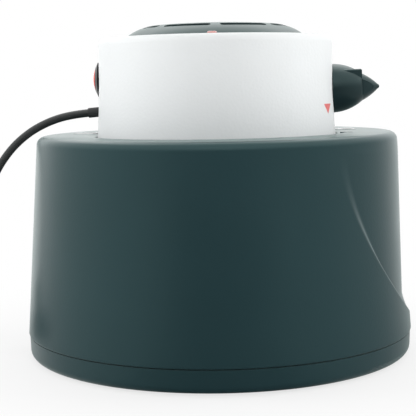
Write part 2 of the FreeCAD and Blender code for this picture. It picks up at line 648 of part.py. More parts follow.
def head_housing():
    rim_z = HEAD_TOP_Z - HEAD_EDGE_R
    waist_r, waist_z = HEAD_FOOT_R - HEAD_WAIST, HEAD_FOOT_Z + HEAD_WAIST_H
    slant = HEAD_EDGE_R * (1 - math.sqrt(0.5))
    in_edge = HEAD_EDGE_R - HEAD_WALL
    in_slant = in_edge * (1 - math.sqrt(0.5))
    in_top_r = HEAD_TOP_R - HEAD_WALL
    in_foot_r = HEAD_FOOT_R - HEAD_WALL
    body = turned(
        (in_foot_r, HEAD_FOOT_Z), (HEAD_FOOT_R, HEAD_FOOT_Z), ((waist_r, waist_z), (HEAD_TOP_R, rim_z)),
        ((HEAD_TOP_R - slant, HEAD_TOP_Z - slant), (HEAD_TOP_R - HEAD_EDGE_R, HEAD_TOP_Z)),
        (TOP_HOLE_R, HEAD_TOP_Z), (TOP_HOLE_R, HEAD_UNDER_Z), (in_top_r - in_edge, HEAD_UNDER_Z),
        ((in_top_r - in_slant, HEAD_UNDER_Z - in_slant), (in_top_r, HEAD_UNDER_Z - in_edge)),
        ((waist_r - HEAD_WALL, waist_z), (in_foot_r, HEAD_FOOT_Z)))
    boss_top_z = FLOOR_TOP_Z + HEAD_BOSS_H
    web_r = head_wall_r(boss_top_z) - HEAD_WALL / 2
    web = block(HEAD_SCREW_CIRCLE_R, web_r, -1.2, 1.2, FLOOR_TOP_Z, boss_top_z)
    boss = rod(HEAD_BOSS_R, FLOOR_TOP_Z, boss_top_z, HEAD_SCREW_CIRCLE_R).fuse(web)
    ear_boss = rod(EAR_BOSS_R, EAR_Z + EAR_H, HEAD_UNDER_Z + 0.5, EAR_CIRCLE_R)
    out, within = HEAD_FOOT_R + 5, HEAD_TOP_R - 12
    flat_r = KNOB_R + FLAT_PLAY
    pad = leant(level_rod(flat_r + HEAD_WALL, flat_x() - HEAD_WALL, out, KNOB_Z))
    within_wall = turned((0, HEAD_FOOT_Z), (waist_r - 1, HEAD_FOOT_Z), (HEAD_TOP_R - 1, rim_z), (0, rim_z))
    pad = pad.common(within_wall)
    shell = fused(body, pad, *around(SCREW_COUNT, SCREW_AZ, boss), *around(EAR_COUNT, EAR_AZ, ear_boss))
    thread = SCREW_R + SCREW_PLAY
    screw_hole = rod(thread, FLOOR_TOP_Z - 1, FLOOR_TOP_Z + HEAD_SCREW_BITE + 1, HEAD_SCREW_CIRCLE_R)
    ear_hole = rod(thread, EAR_Z, HEAD_UNDER_Z - 0.5, EAR_CIRCLE_R)
    lens_x, lens_y = polar(HEAD_TOP_R - LENS_IN, LENS_AZ)
    save("head_housing", cut(
        shell, *around(SCREW_COUNT, SCREW_AZ, screw_hole), *around(EAR_COUNT, EAR_AZ, ear_hole),
        rod(LENS_R + 0.1, HEAD_UNDER_Z - 5, HEAD_TOP_Z + 1, lens_x, lens_y),
        leant(level_rod(flat_r, flat_x(), out, KNOB_Z)),
        leant(level_rod(BUSH_R + BUSH_PLAY, within, out, KNOB_Z)),
        level_rod(BARREL_R + BARREL_PLAY, -out, -within, SWITCH_Z),
        drooped(level_rod(GLAND_R + 0.1, -out, -within, GLAND_Z))))


def head_floor():
    edge_r = HEAD_FOOT_R - HEAD_WALL - FLOOR_PLAY
    hole_r = BOILER_R + BOILER_PLAY
    plate = tube(edge_r, hole_r, FLOOR_Z, FLOOR_TOP_Z)
    spigot = tube(SPIGOT_R, SPIGOT_R - SPIGOT_WALL, LUG_Z - 2, FLOOR_Z + 0.5)
    press = tube(LUG_R, SPIGOT_R - 0.5, seal_top_z() + SEAL_GAP, FLOOR_Z + 0.5)
    collar = tube(BOILER_FLANGE_R, hole_r, FLOOR_Z - COLLAR_H, FLOOR_Z + 0.5)
    half = LUG_SPAN / 2
    lug = sector(SPIGOT_R - 0.5, LUG_R, LUG_Z, LUG_TOP_Z, LUG_AZ - half, LUG_AZ + half)
    head_h = FLOOR_H / 2
    hole = rod(SCREW_R + HOLE_PLAY, FLOOR_Z - 1, FLOOR_TOP_Z + 1, HEAD_SCREW_CIRCLE_R)
    recess = rod(SCREW_HEAD_R + HOLE_PLAY, FLOOR_Z - 1, FLOOR_Z + head_h, HEAD_SCREW_CIRCLE_R)
    thread = rod(SCREW_R + SCREW_PLAY, FLOOR_Z - COLLAR_H + 1, FLOOR_TOP_Z + 1, HEATER_SCREW_CIRCLE_R)
    floor = fused(plate, spigot, press, collar, *around(LUG_COUNT, 0, lug))
    holes = around(SCREW_COUNT, SCREW_AZ, hole.fuse(recess))
    save("head_floor", cut(floor, *holes, *around(SCREW_COUNT, 0, thread)))
    length = FLOOR_H - head_h + HEAD_SCREW_BITE
    bolt = screw(FLOOR_Z + head_h, HEAD_SCREW_CIRCLE_R, length, head_h=head_h - 0.1)
    save("head_screws", Part.makeCompound(around(SCREW_COUNT, SCREW_AZ, bolt)))


def boiler():
    inner = BOILER_R - BOILER_WALL
    wall = turned(
        (inner, BOILER_FOOT_Z), (BOILER_R, BOILER_FOOT_Z), (BOILER_R, FLOOR_TOP_Z),
        (BOILER_FLANGE_R, FLOOR_TOP_Z), (BOILER_FLANGE_R, GASKET_Z), (inner, GASKET_Z))
    inlet = level_rod(INLET_R, inner - 5, BOILER_R + 5, BOILER_FOOT_Z + INLET_UP)
    hole = rod(SCREW_R + HOLE_PLAY, FLOOR_TOP_Z - 1, HEATER_TOP_Z + 1, HEATER_SCREW_CIRCLE_R)
    holes = around(SCREW_COUNT, 0, hole)
    save("boiler_tube", cut(wall, *around(6, 30, inlet), *holes))
    cup_r = BOILER_R + 0.1
    foot_z = BOILER_FOOT_Z - 5
    rim_z = foot_z + STRAINER_H
    seat_z = BOILER_FOOT_Z - 2
    cup = turned(
        (0, foot_z), (cup_r + STRAINER_WALL, foot_z), (cup_r + STRAINER_WALL, rim_z), (cup_r, rim_z),
        (cup_r, BOILER_FOOT_Z), (inner - 2, BOILER_FOOT_Z), (inner - 2, seat_z), (0, seat_z))
    slot = block(inner * 0.25, inner * 0.85, -1.5, 1.5, foot_z - 1, seat_z + 1)
    save("inlet_strainer", cut(cup, *around(8, 0, slot)))
    save("heater_gasket", cut(tube(BOILER_FLANGE_R, inner, GASKET_Z, HEATER_Z), *holes))
    leg = 1.5 * ELEMENT_PITCH
    below, above = HEATER_Z - 1, HEATER_TOP_Z + 1
    ports = [rod(ELEMENT_R + 0.1, below, above, x) for x in (-leg, leg)]
    ports += [rod(PIPE_R - PIPE_WALL, below, above), rod(RELIEF_BORE_R, below, above, 0, RELIEF_Y)]
    save("heater_plate", cut(rod(BOILER_FLANGE_R, HEATER_Z, HEATER_TOP_Z), *ports, *holes))
    grip = HEATER_TOP_Z - FLOOR_TOP_Z + FLOOR_H + COLLAR_H - 3
    bolt = screw(HEATER_TOP_Z, HEATER_SCREW_CIRCLE_R, grip, up=False)
    save("heater_screws", Part.makeCompound(around(SCREW_COUNT, 0, bolt)))
    reach, blade_z = CUTOUT_R + 4, HEATER_TOP_Z + CUTOUT_H - 3
    blades = block(-1.5, 1.5, CUTOUT_Y - reach, CUTOUT_Y + reach, blade_z, blade_z + 0.8)
    disc = rod(CUTOUT_R, HEATER_TOP_Z, HEATER_TOP_Z + CUTOUT_H, 0, CUTOUT_Y)
    save("thermal_cutout", disc.fuse(blades))


def heating_element():
    """Rod element bent to three hairpins in one plane, with a terminal pin on each cold end."""
    half = ELEMENT_PITCH / 2
    low_z, high_z, top_z = BOILER_FOOT_Z + ELEMENT_CLEAR, HEATER_Z - ELEMENT_DOWN, HEATER_TOP_Z + ELEMENT_COLD
    legs = [(k - 1.5) * ELEMENT_PITCH for k in range(4)]
    ends = [(top_z, low_z), (low_z, high_z), (high_z, low_z), (low_z, top_z)]
    bend_down = [True, False, True]
    path = []
    for k, (start, end) in enumerate(ends):
        path.append(Part.makeLine(V(legs[k], 0, start), V(legs[k], 0, end)))
        if k < len(bend_down):
            apex = end - half if bend_down[k] else end + half
            bend = Part.Arc(V(legs[k], 0, end), V(legs[k] + half, 0, apex), V(legs[k + 1], 0, end))
            path.append(bend.toShape())
    section = Part.Wire([Part.makeCircle(ELEMENT_R, V(legs[0], 0, top_z), V(0, 0, -1))])
    sheath = Part.Wire(path).makePipeShell([section], True, False)
    pins = [rod(PIN_R, top_z - 0.5, top_z + PIN_H, x) for x in (legs[0], legs[-1])]
    save("heating_element", fused(sheath, *pins))


def flanged_pipe(outer, inner, flange_r, y=0.0):
    pipe = tube(outer, inner, HEATER_TOP_Z, PIPE_TOP_Z, 0, y)
    return pipe.fuse(tube(flange_r, inner, HEATER_TOP_Z, HEATER_TOP_Z + PIPE_FLANGE_H, 0, y))


def steam_outlet():
    save("steam_pipe", flanged_pipe(PIPE_R, PIPE_R - PIPE_WALL, PIPE_FLANGE_R))
    save("relief_pipe", flanged_pipe(RELIEF_R, RELIEF_BORE_R, RELIEF_R + 2.5, RELIEF_Y))
    in_r = TOP_HOLE_R + DISH_PLAY
    out_r = in_r + DISH_WALL
    dish = turned((0, DISH_FLOOR_Z), (out_r, DISH_FLOOR_Z), (out_r, HEAD_UNDER_Z), (in_r, HEAD_UNDER_Z),
                  (in_r, DISH_TOP_Z), (0, DISH_TOP_Z))
    ear = block(out_r - 1, EAR_CIRCLE_R + 4, -EAR_HALF_W, EAR_HALF_W, EAR_Z, EAR_Z + EAR_H)
    ear_hole = rod(SCREW_R + HOLE_PLAY, EAR_Z - 1, EAR_Z + EAR_H + 1, EAR_CIRCLE_R)
    below, above = DISH_FLOOR_Z - 1, DISH_TOP_Z + 1
    dish = cut(fused(dish, *around(EAR_COUNT, EAR_AZ, ear)), *around(EAR_COUNT, EAR_AZ, ear_hole),
               rod(HOSE_STUB_R + 0.1, below, above), rod(VALVE_STUB_R + 0.2, below, above, 0, RELIEF_Y))
    save("outlet_dish", dish)
    bolt = screw(EAR_Z, EAR_CIRCLE_R, EAR_H + DISH_SCREW_BITE)
    save("dish_screws", Part.makeCompound(around(EAR_COUNT, EAR_AZ, bolt)))
    socket_z = PIPE_TOP_Z + 0.2
    flange_top = DISH_TOP_Z + HOSE_FLANGE_H
    top_z = DISH_TOP_Z + HOSE_SPIGOT_H
    socket_r = PIPE_R + 0.1
    stub_z = DISH_FLOOR_Z - HOSE_STUB_H
    save("hose_spigot", turned(
        (HOSE_SPIGOT_BORE_R, socket_z), (socket_r, socket_z), (socket_r, stub_z), (HOSE_STUB_R, stub_z),
        (HOSE_STUB_R, DISH_TOP_Z), (HOSE_FLANGE_R, DISH_TOP_Z), (HOSE_FLANGE_R, flange_top),
        (HOSE_SPIGOT_R, flange_top), (HOSE_SPIGOT_R, top_z - 1.5), (HOSE_SPIGOT_R - 1.5, top_z),
        (HOSE_SPIGOT_BORE_R, top_z)))
    nut = hexagon(HOSE_FLANGE_R - 0.5, DISH_FLOOR_Z - NUT_H, DISH_FLOOR_Z)
    save("spigot_nut", nut.cut(rod(HOSE_STUB_R + 0.1, DISH_FLOOR_Z - NUT_H - 1, DISH_FLOOR_Z + 1)))
    hex_top = DISH_TOP_Z + VALVE_HEX_H
    valve = fused(
        tube(VALVE_STUB_R, RELIEF_R + 0.1, DISH_FLOOR_Z - 7, DISH_TOP_Z, 0, RELIEF_Y),
        hexagon(VALVE_HEX_R, DISH_TOP_Z, hex_top, 0, RELIEF_Y),
        rod(VALVE_CAP_R, hex_top, hex_top + VALVE_CAP_H, 0, RELIEF_Y))
    reach, half = VALVE_CAP_R + 1, 1.2
    low, high = hex_top + 3, hex_top + VALVE_CAP_H - 2
    vents = [block(-reach, reach, RELIEF_Y - half, RELIEF_Y + half, low, high),
             block(-half, half, RELIEF_Y - reach, RELIEF_Y + reach, low, high)]
    save("relief_valve", cut(valve, *vents))


def dome_drop(edge_r, drop, r):
    """How far a ball-shaped dome has dropped at a radius, from its drop at the edge."""
    ball = (edge_r ** 2 + drop ** 2) / (2 * drop)
    return ball - math.sqrt(ball ** 2 - r ** 2)


def vent_cap():
    foot, crown = CAP_FOOT_Z, CAP_FOOT_Z + CAP_H
    knee_r, knee_z = CAP_R - CAP_KNEE_IN, foot + CAP_KNEE_H
    side_r, side_z = CAP_R - CAP_SIDE_IN, foot + CAP_SIDE_H
    crown_r = knee_r * 0.7
    w = CAP_WALL
    in_r, in_z, in_crown = knee_r - 0.9, knee_z - w + 0.1, crown - w
    body = turned(
        (0, crown), ((crown_r, crown - dome_drop(knee_r, crown - knee_z, crown_r)), (knee_r, knee_z)),
        ((side_r, side_z), (CAP_R, foot)), (CAP_R - w - 0.4, foot),
        ((side_r - 1.5, side_z - w + 0.2), (in_r, in_z)),
        ((crown_r, in_crown - dome_drop(in_r, in_crown - in_z, crown_r)), (0, in_crown)))
    slot_r, half = CAP_R - SLOT_IN, SLOT_SPAN / 2
    pitch = 360.0 / SLOT_COUNT
    slot = sector(slot_r - SLOT_W / 2, slot_r + SLOT_W / 2, foot, crown, -half, half)
    slot = fused(slot, *[rod(SLOT_W / 2, foot, crown, *polar(slot_r, side * half)) for side in (1, -1)])
    leg_out = TOP_HOLE_R - FIT
    leg_top = foot + 4.0
    leg = block(leg_out - CAP_LEG_T, leg_out, -CAP_LEG_W / 2, CAP_LEG_W / 2, foot - CAP_LEG_H, leg_top)
    cap = cut(body, *around(SLOT_COUNT, -90 + pitch / 2, slot))
    save("vent_cap", fused(cap, *around(SLOT_COUNT, -90, leg)))


def blade_w(out):
    """Half width of the blade at a distance out from the skirt's foot."""
    return bent_through([(BLADE_BACK_W, RIB_AT), (BLADE_MID_W, BLADE_MID_AT), (BLADE_TIP_W, KNOB_LEN)], out)


def regulator():
    z = KNOB_Z
    foot = flat_x() + KNOB_GAP
    tip = foot + KNOB_LEN
    nose = tip - KNOB_NOSE_L
    crown_r = KNOB_NOSE_R / 2
    body = turned_side(
        1, z, (0, foot), (KNOB_R, foot),
        ((KNOB_BOW_R, foot + KNOB_BOW_AT), (KNOB_NECK_R, foot + KNOB_NECK_AT)),
        ((KNOB_MID_R, foot + KNOB_MID_AT), (KNOB_NOSE_R, nose)),
        ((crown_r, tip - dome_drop(KNOB_NOSE_R, KNOB_NOSE_L, crown_r)), (0, tip)))
    skirt_in = KNOB_R - KNOB_WALL
    hollow = turned_side(
        1, z, (0, foot - 1), (skirt_in, foot - 1), (skirt_in - 0.8, foot + KNOB_HOLLOW),
        (KNOB_HUB_R, foot + KNOB_HOLLOW), (KNOB_HUB_R, foot + KNOB_HUB_IN), (0, foot + KNOB_HUB_IN))
    bore = level_rod(SHAFT_R + SHAFT_PLAY, foot, foot + SHAFT_SEAT + 0.2, z)
    # Both flanks beyond the skirt are scooped away, which leaves the blade to hold.
    start, end, far, wide = foot + SKIRT_END, SKIRT_END + SCOOP_R, tip + 5, KNOB_R + 6
    corner = SCOOP_R * (1 - math.sqrt(0.5))
    half_way = (end + KNOB_LEN) / 2
    scoops = []
    for side in (1, -1):
        steps = [(far, BLADE_TIP_W), (tip, BLADE_TIP_W),
                 ((foot + half_way, blade_w(half_way)), (foot + end, blade_w(end))),
                 ((start + corner, blade_w(end) + corner), (start, blade_w(end) + SCOOP_R)),
                 (start - 1.2, wide), (far, wide)]
        face = outline(lambda x, y: V(x, side * y, z - 1.5 * KNOB_R), steps)
        scoops.append(face.extrude(V(0, 0, 3 * KNOB_R)))
    back, middle, front = foot + RIB_AT, (RIB_AT + RIB_END) / 2, foot + RIB_END
    middle_w, front_w = blade_w(middle), blade_w(RIB_END)
    steps = [(back, -BLADE_BACK_W), ((foot + middle, -middle_w), (front, -front_w)), (front, front_w),
             ((foot + middle, middle_w), (back, BLADE_BACK_W))]
    rib = outline(lambda x, y: V(x, y, z), steps).extrude(V(0, 0, RIB_R))
    rib = softened(rib, RIB_EDGE_R, z + RIB_R)
    room = level_rod(KNOB_R - 0.1, foot, front, z)
    knob = fused(cut(body, hollow, *scoops), rib.common(room).cut(hollow)).cut(bore)
    save("regulator_knob", leant(knob))
    face_x = flat_x() - HEAD_WALL - REGULATOR_GAP
    back_x = face_x - REGULATOR_LEN
    shaft_x = back_x + 12
    save("regulator_shaft", leant(level_rod(SHAFT_R, shaft_x, foot + SHAFT_SEAT, z)))
    nut_x = flat_x() + 0.05
    bush_x = nut_x + PANEL_NUT_H + 0.8
    housing = fused(level_rod(REGULATOR_R, back_x, face_x, z), level_rod(BUSH_R, face_x - 0.5, bush_x, z))
    housing = housing.cut(level_rod(SHAFT_R + SHAFT_PLAY, shaft_x - 0.1, bush_x + 1, z))
    tabs = [block(back_x - 8, back_x + 0.5, y - 3, y + 3, z - 0.4, z + 0.4) for y in (-7, 7)]
    save("regulator", leant(fused(housing, *tabs)))
    nut = hexagon(PANEL_NUT_R, 0, PANEL_NUT_H).cut(rod(BUSH_R + 0.1, -1, PANEL_NUT_H + 1))
    nut.rotate(V(0, 0, 0), V(0, 1, 0), 90)
    nut.translate(V(nut_x, 0, z))
    save("regulator_nut", leant(nut))
    axis = leant(Part.makeLine(V(flat_x(), 0, z), V(flat_x() + 1, 0, z))).Vertexes
    print("knob axis from", [round(c, 3) for c in axis[0].Point],
          "along", [round(c, 5) for c in axis[1].Point - axis[0].Point])


def switch():
    z = SWITCH_Z
    seat = head_wall_r(z - BEZEL_R) + 0.05
    rim_x = seat + BEZEL_OUT
    hole_r = ROCKER_R + ROCKER_PLAY
    pivot = rim_x - ROCKER_PIVOT_IN
    front = rim_x - 0.2
    back_x = pivot - ROCKER_BACK
    pocket_x = back_x - 3
    barrel_end = seat - BARREL_LEN
    bezel = turned_side(
        -1, z, (0, barrel_end), (BARREL_R, barrel_end), (BARREL_R, seat), (BEZEL_R, seat),
        (BEZEL_R, seat + BEZEL_EDGE), ((BEZEL_R - 1.7, rim_x - 1.2), (hole_r, rim_x)), (hole_r, pocket_x),
        (0, pocket_x))
    tabs = [block(-barrel_end - 0.5, -barrel_end + 8, -3, 3, z + h - 0.4, z + h + 0.4) for h in (-6, 0, 6)]
    save("switch_body", fused(bezel, *tabs))
    apex, mid_r = rim_x + ROCKER_OUT, ROCKER_FACE_R / 2
    face = ((mid_r, apex - dome_drop(ROCKER_FACE_R, apex - front, mid_r)), (0, apex))
    back_r, front_r = [math.sqrt(ROCKER_R ** 2 - (x - pivot) ** 2) for x in (back_x, front)]
    rocker = turned_side(
        -1, z, (0, back_x), (back_r, back_x), ((ROCKER_R, pivot), (front_r, front)), (ROCKER_FACE_R, front), face)
    rocker.rotate(V(-pivot, 0, z), V(0, 0, 1), -ROCKER_TILT)
    save("switch_rocker", rocker)
    print("switch pivot x", round(-pivot, 3))


def indicator():
    x, y = polar(HEAD_TOP_R - LENS_IN, LENS_AZ)
    top_z = HEAD_TOP_Z + LENS_OUT
    lens = rod(LENS_R, HEAD_UNDER_Z - 0.5, top_z, x, y)
    lens = lens.makeFillet(LENS_EDGE, [e for e in lens.Edges if abs(e.BoundBox.ZMin - top_z) < 0.01])
    foot_z = HEAD_UNDER_Z - 1.5
    save("indicator_lens", lens.fuse(rod(LENS_R + 1, foot_z, HEAD_UNDER_Z, x, y)))
    low_z = foot_z - LAMP_H
    leads = [rod(0.6, low_z - 6, low_z + 1, x + dx, y) for dx in (-2, 2)]
    save("indicator_lamp", fused(rod(LENS_R + 1, low_z, foot_z, x, y), *leads))


def drooped(shape):
    """Turned down about the point where the cord passes the head's wall."""
    copy = shape.copy()
    copy.rotate(V(-head_wall_r(GLAND_Z), 0, GLAND_Z), V(0, 1, 0), -GLAND_DROOP)
    return copy


def gland_point(out):
    """Point on the drooping axis of the sleeve, at a distance out from the head's wall."""
    slope = math.radians(GLAND_DROOP)
    wall = head_wall_r(GLAND_Z)
    return V(-wall - out * math.cos(slope), 0, GLAND_Z - out * math.sin(slope))


def cord_entry():
    wall = head_wall_r(GLAND_Z)
    seat = wall - HEAD_WALL - GLAND_FLANGE_GAP
    back = seat - GLAND_FLANGE_H
    tail = back - GLAND_TAIL
    end = wall + GLAND_OUT
    bore = CORD_D / 2 + CORD_PLAY
    sleeve = turned_side(
        -1, GLAND_Z, (bore, tail), (GLAND_R, tail), (GLAND_R, back), (GLAND_FLANGE_R, back),
        (GLAND_FLANGE_R, seat), (GLAND_R, seat),
        (GLAND_R, end - 0.5), (GLAND_R - 0.4, end), (bore, end))
    save("cord_gland", drooped(sleeve))
    corner = gland_point(tail - wall - 3)
    z = corner.z
    terminal_x = TERMINAL_X - TERMINAL_L / 2
    line = bent_wire([gland_point(GLAND_OUT), corner, V(terminal_x, 0, z)], "cord_tail", CORD_TAIL_BEND_R)
    save("cord_tail", swept(line, gland_point(GLAND_OUT), corner - gland_point(GLAND_OUT), "cord_tail"))
    x0, x1, w = SADDLE_X - SADDLE_L / 2, SADDLE_X + SADDLE_L / 2, SADDLE_HALF_W
    low = z - CORD_D / 2 - CORD_PLAY
    sides = (-SADDLE_SCREW_Y, SADDLE_SCREW_Y)
    threads = [rod(SCREW_R + SCREW_PLAY, FLOOR_TOP_Z - 1, low + 1, SADDLE_X, y) for y in sides]
    save("clamp_block", cut(block(x0, x1, -w, w, FLOOR_TOP_Z, low), *threads))
    hump = level_rod(CORD_D / 2 + STRAP_H, x0 + 1, x1 - 1, z).common(block(x0, x1, -w, w, low, z + CORD_D))
    strap = block(x0 + 1, x1 - 1, -w, w, low, low + STRAP_H).fuse(hump)
    holes = [rod(SCREW_R + HOLE_PLAY, low - 1, low + CORD_D, SADDLE_X, y) for y in sides]
    passage = fused(level_rod(bore, x0, x1, z), block(x0, x1, -bore, bore, low - 1, z))
    save("cord_clamp", cut(strap, passage, *holes))
    bolts = [screw(low + STRAP_H, SADDLE_X, CLAMP_SCREW_L, up=False, y=y) for y in sides]
    save("clamp_screws", Part.makeCompound(bolts))
    t, half = TERMINAL_L / 2, TERMINAL_HALF_W
    top_z = z + CORD_D
    terminal = block(TERMINAL_X - t, TERMINAL_X + t, -half, half, FLOOR_TOP_Z, top_z)
    wells = [rod(1.8, top_z - 5, top_z + 1, TERMINAL_X, y) for y in (-8, 0, 8)]
    save("terminal_block", cut(terminal, *wells))


# The cord leaves its sleeve and reaches the coil with a straight run. The points between are chosen by eye.
CORD_FIRST_RUN = 14.4
CORD_LAST_RUN = 17.9
CORD_POINTS = [
    (-138.8, -0.5, 194.2), (-156.5, -1, 185.0), (-172.2, -1.5, 171.2), (-185.6, -2, 152.0),
    (-194.5, -2.2, 128.5), (-200.5, -2.6, 101.5), (-203.2, -3, 74), (-205.5, -3.2, 49.5),
    (-213.0, -3.4, 28.0), (-226.0, -3.8, 12.2)]
# The plug's lead: distance along the floor from the coil's end, and rise
LEAD_POINTS = [(13, 0), (36, 4.0), (58, 7.3), (71, 7.3)]


def bent_wire(points, label, radius=None):
    """Straight runs joined by arcs, of one radius or as large as the runs allow."""
    path = [V(*p) for p in points]
    edges, radii = [], []
    here = path[0]
    for before, corner, after in zip(path, path[1:], path[2:]):
        a, b = corner - before, after - corner
        half = a.getAngle(b) / 2
        bend = radius or 0.45 * min(a.Length, b.Length) / math.tan(half)
        radii.append(bend)
        a.normalize()
        b.normalize()
        reach = bend * math.tan(half)
        start, end = corner - a * reach, corner + b * reach
        middle = corner + (b - a).normalize() * (bend / math.cos(half) - bend)
        edges += [Part.makeLine(here, start), Part.Arc(start, middle, end).toShape()]
        here = end
    edges.append(Part.makeLine(here, path[-1]))
    print(label, "bend radii", [round(r) for r in radii])
    return Part.Wire(edges)


def swept(wire, start, direction, label):
    section = Part.Wire([Part.makeCircle(CORD_D / 2, start, direction)])
    solid = wire.makePipeShell([section], True, False)
    ratio = solid.Volume / (math.pi * CORD_D ** 2 / 4 * wire.Length)
    print(label, "length", round(wire.Length), "volume over section times length", round(ratio, 4))
    return solid


def arc_between(start, tangent, end):
    """Edge of the arc that leaves the start along the tangent and reaches the end."""
    chord = end - start
    across = tangent - chord * (tangent.dot(chord) / chord.dot(chord))
    if across.Length < 1e-6:
        return Part.makeLine(start, end)
    half = tangent.getAngle(chord)
    middle = (start + end) * 0.5 + across.normalize() * (chord.Length / 2 * math.tan(half / 2))
    return Part.Arc(start, middle, end).toShape()


def biarc(p0, t0, p1, t1):
    """Two arcs that join two points and keep the directions there."""
    v, t = p1 - p0, t0 + t1
    k = 2 * (1 - t0.dot(t1))
    along = v.dot(t)
    d = v.dot(v) / (2 * along) if k < 1e-9 else (-along + math.sqrt(along * along + k * v.dot(v))) / k
    joint = (p0 + t0 * d + p1 - t1 * d) * 0.5
    tangent = (p1 - t1 * d - p0 - t0 * d).normalize()
    return [arc_between(p0, t0, joint), arc_between(joint, tangent, p1)]


def coil_point(turn):
    """Middle of the cord after so many turns: in on the low layer, half a turn up, out on the high one."""
    middle = COIL_LOW_TURNS + 0.25
    radius = COIL_OUT_R - COIL_PITCH * middle + COIL_PITCH * abs(turn - middle)
    s = min(max((turn - COIL_LOW_TURNS) / 0.5, 0.0), 1.0)
    x, y = polar(radius, -90 - 360 * turn)
    return V(COIL_X + x, COIL_Y + y, COIL_Z + COIL_LAYER * s * s * (3 - 2 * s))


def coil_tangent(turn):
    step = 1e-4
    return (coil_point(turn + step) - coil_point(turn - step)).normalize()


def least_gap(edges):
    """Least distance between stretches of the coil that aren't neighbours along it, less the cord itself."""
    step = 2.0
    spots = []
    for edge in edges:
        spots += edge.discretize(max(2, int(edge.Length / step)) + 1)[:-1]
    skip = int(4 * CORD_D / step)
    gaps = [(a - b).Length for i, a in enumerate(spots) for b in spots[i + skip:]]
    return min(gaps) - CORD_D


def cord_coil():
    count = int(round((COIL_LOW_TURNS + 0.5 + COIL_HIGH_TURNS) * 4))
    points = [coil_point(k / 4.0) for k in range(count + 1)]
    tangents = [V(-1, 0, 0)] + [coil_tangent(k / 4.0) for k in range(1, count + 1)]
    lead_in = points[0] - tangents[0] * CORD_D
    lead_out = points[-1] + tangents[-1] * CORD_D
    edges = [Part.makeLine(lead_in, points[0])]
    for k in range(count):
        edges += biarc(points[k], tangents[k], points[k + 1], tangents[k + 1])
    edges.append(Part.makeLine(points[-1], lead_out))
    wire = Part.Wire(edges)
    save("cord_coil", swept(wire, lead_in, tangents[0], "cord_coil"))
    print("cord_coil least gap to itself", round(least_gap(edges), 2))
    return lead_in, lead_out, tangents[-1], wire.Length


def cord_tie():
    """Flat band round one side of the coil."""
    inner = COIL_OUT_R - COIL_PITCH * (COIL_LOW_TURNS + 0.25) - CORD_D / 2 - COIL_PITCH / 4
    outer = COIL_OUT_R + CORD_D / 2 + COIL_PITCH / 4
    high = COIL_Z + COIL_LAYER + CORD_D / 2 + TIE_PLAY / 2
    half = TIE_W / 2
    band = block(inner - TIE_T, outer + TIE_T, -half, half, 0, high + TIE_T)
    band = band.makeFillet(3.0, [e for e in band.Edges if abs(e.BoundBox.YLength - TIE_W) < 0.01])
    room = block(inner, outer, -TIE_W, TIE_W, TIE_T, high)
    room = room.makeFillet(1.8, [e for e in room.Edges if abs(e.BoundBox.YLength - 2 * TIE_W) < 0.01])
    band = spun(band.cut(room), TIE_AZ)
    band.translate(V(COIL_X, COIL_Y, 0))
    save("cord_tie", band)


def mains_cord():
    lead_in, lead_out, direction, coil_length = cord_coil()
    cord_tie()
    start = gland_point(GLAND_OUT)
    print("cord starts at", [round(c, 2) for c in start])
    print("cord meets the coil at", [round(c, 2) for c in lead_in])
    points = [start, gland_point(GLAND_OUT + CORD_FIRST_RUN)] + [V(*p) for p in CORD_POINTS]
    points += [lead_in + V(CORD_LAST_RUN, 0, 0), lead_in]
    wire = bent_wire(points, "mains_cord")
    save("mains_cord", swept(wire, start, points[1] - start, "mains_cord"))
    lead = [lead_out] + [lead_out + direction * run + V(0, 0, rise) for run, rise in LEAD_POINTS]
    lead_wire = bent_wire(lead, "plug_lead")
    save("plug_lead", swept(lead_wire, lead_out, lead[1] - lead_out, "plug_lead"))
    print("cord length outside in all", round(wire.Length + coil_length + lead_wire.Length))
    plug(lead[-1], direction)


def plug(start, direction):
    """Round two-pin earthed plug lying on the floor, with its cord sleeve at the start."""
    radius = start.z - 0.05
    shoulder = PLUG_SLEEVE + 4
    end = PLUG_SLEEVE + PLUG_LEN
    body = turned((0, 0), (CORD_D * 0.8, 0), (CORD_D, PLUG_SLEEVE), (radius * 0.65, shoulder),
                  (radius, shoulder + 10), (radius, end), (0, end))
    grooves = [block(-2.6, 2.6, 0, radius + 1, end - 20, end + 1).cut(rod(radius - 3.2, end - 21, end + 1))]
    grooves.append(spun(grooves[0], 180))
    root = end - 8
    holes = [rod(PLUG_PIN_R + 0.05, root, end + 1, x) for x in (-PLUG_PIN_Y, PLUG_PIN_Y)]
    tip = end + PLUG_PIN_LEN
    pins = []
    for x in (-PLUG_PIN_Y, PLUG_PIN_Y):
        pins.append(softened(rod(PLUG_PIN_R, root, tip, x), PLUG_PIN_R / 2, tip))
    place = FreeCAD.Placement(start, FreeCAD.Rotation(V(0, 0, 1), direction))
    for name, shape in (("mains_plug", cut(body, *grooves, *holes)), ("plug_pins", Part.makeCompound(pins))):
        shape.Placement = place
        save(name, shape)


def main():
    os.makedirs("parts", exist_ok=True)
    tank_shell()
    base_tray()
    water_tank()
    neck()
    head_housing()
    head_floor()
    boiler()
    heating_element()
    steam_outlet()
    vent_cap()
    regulator()
    switch()
    indicator()
    cord_entry()
    mains_cord()


main()
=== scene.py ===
import bpy
import json
import math
from mathutils import Matrix, Vector


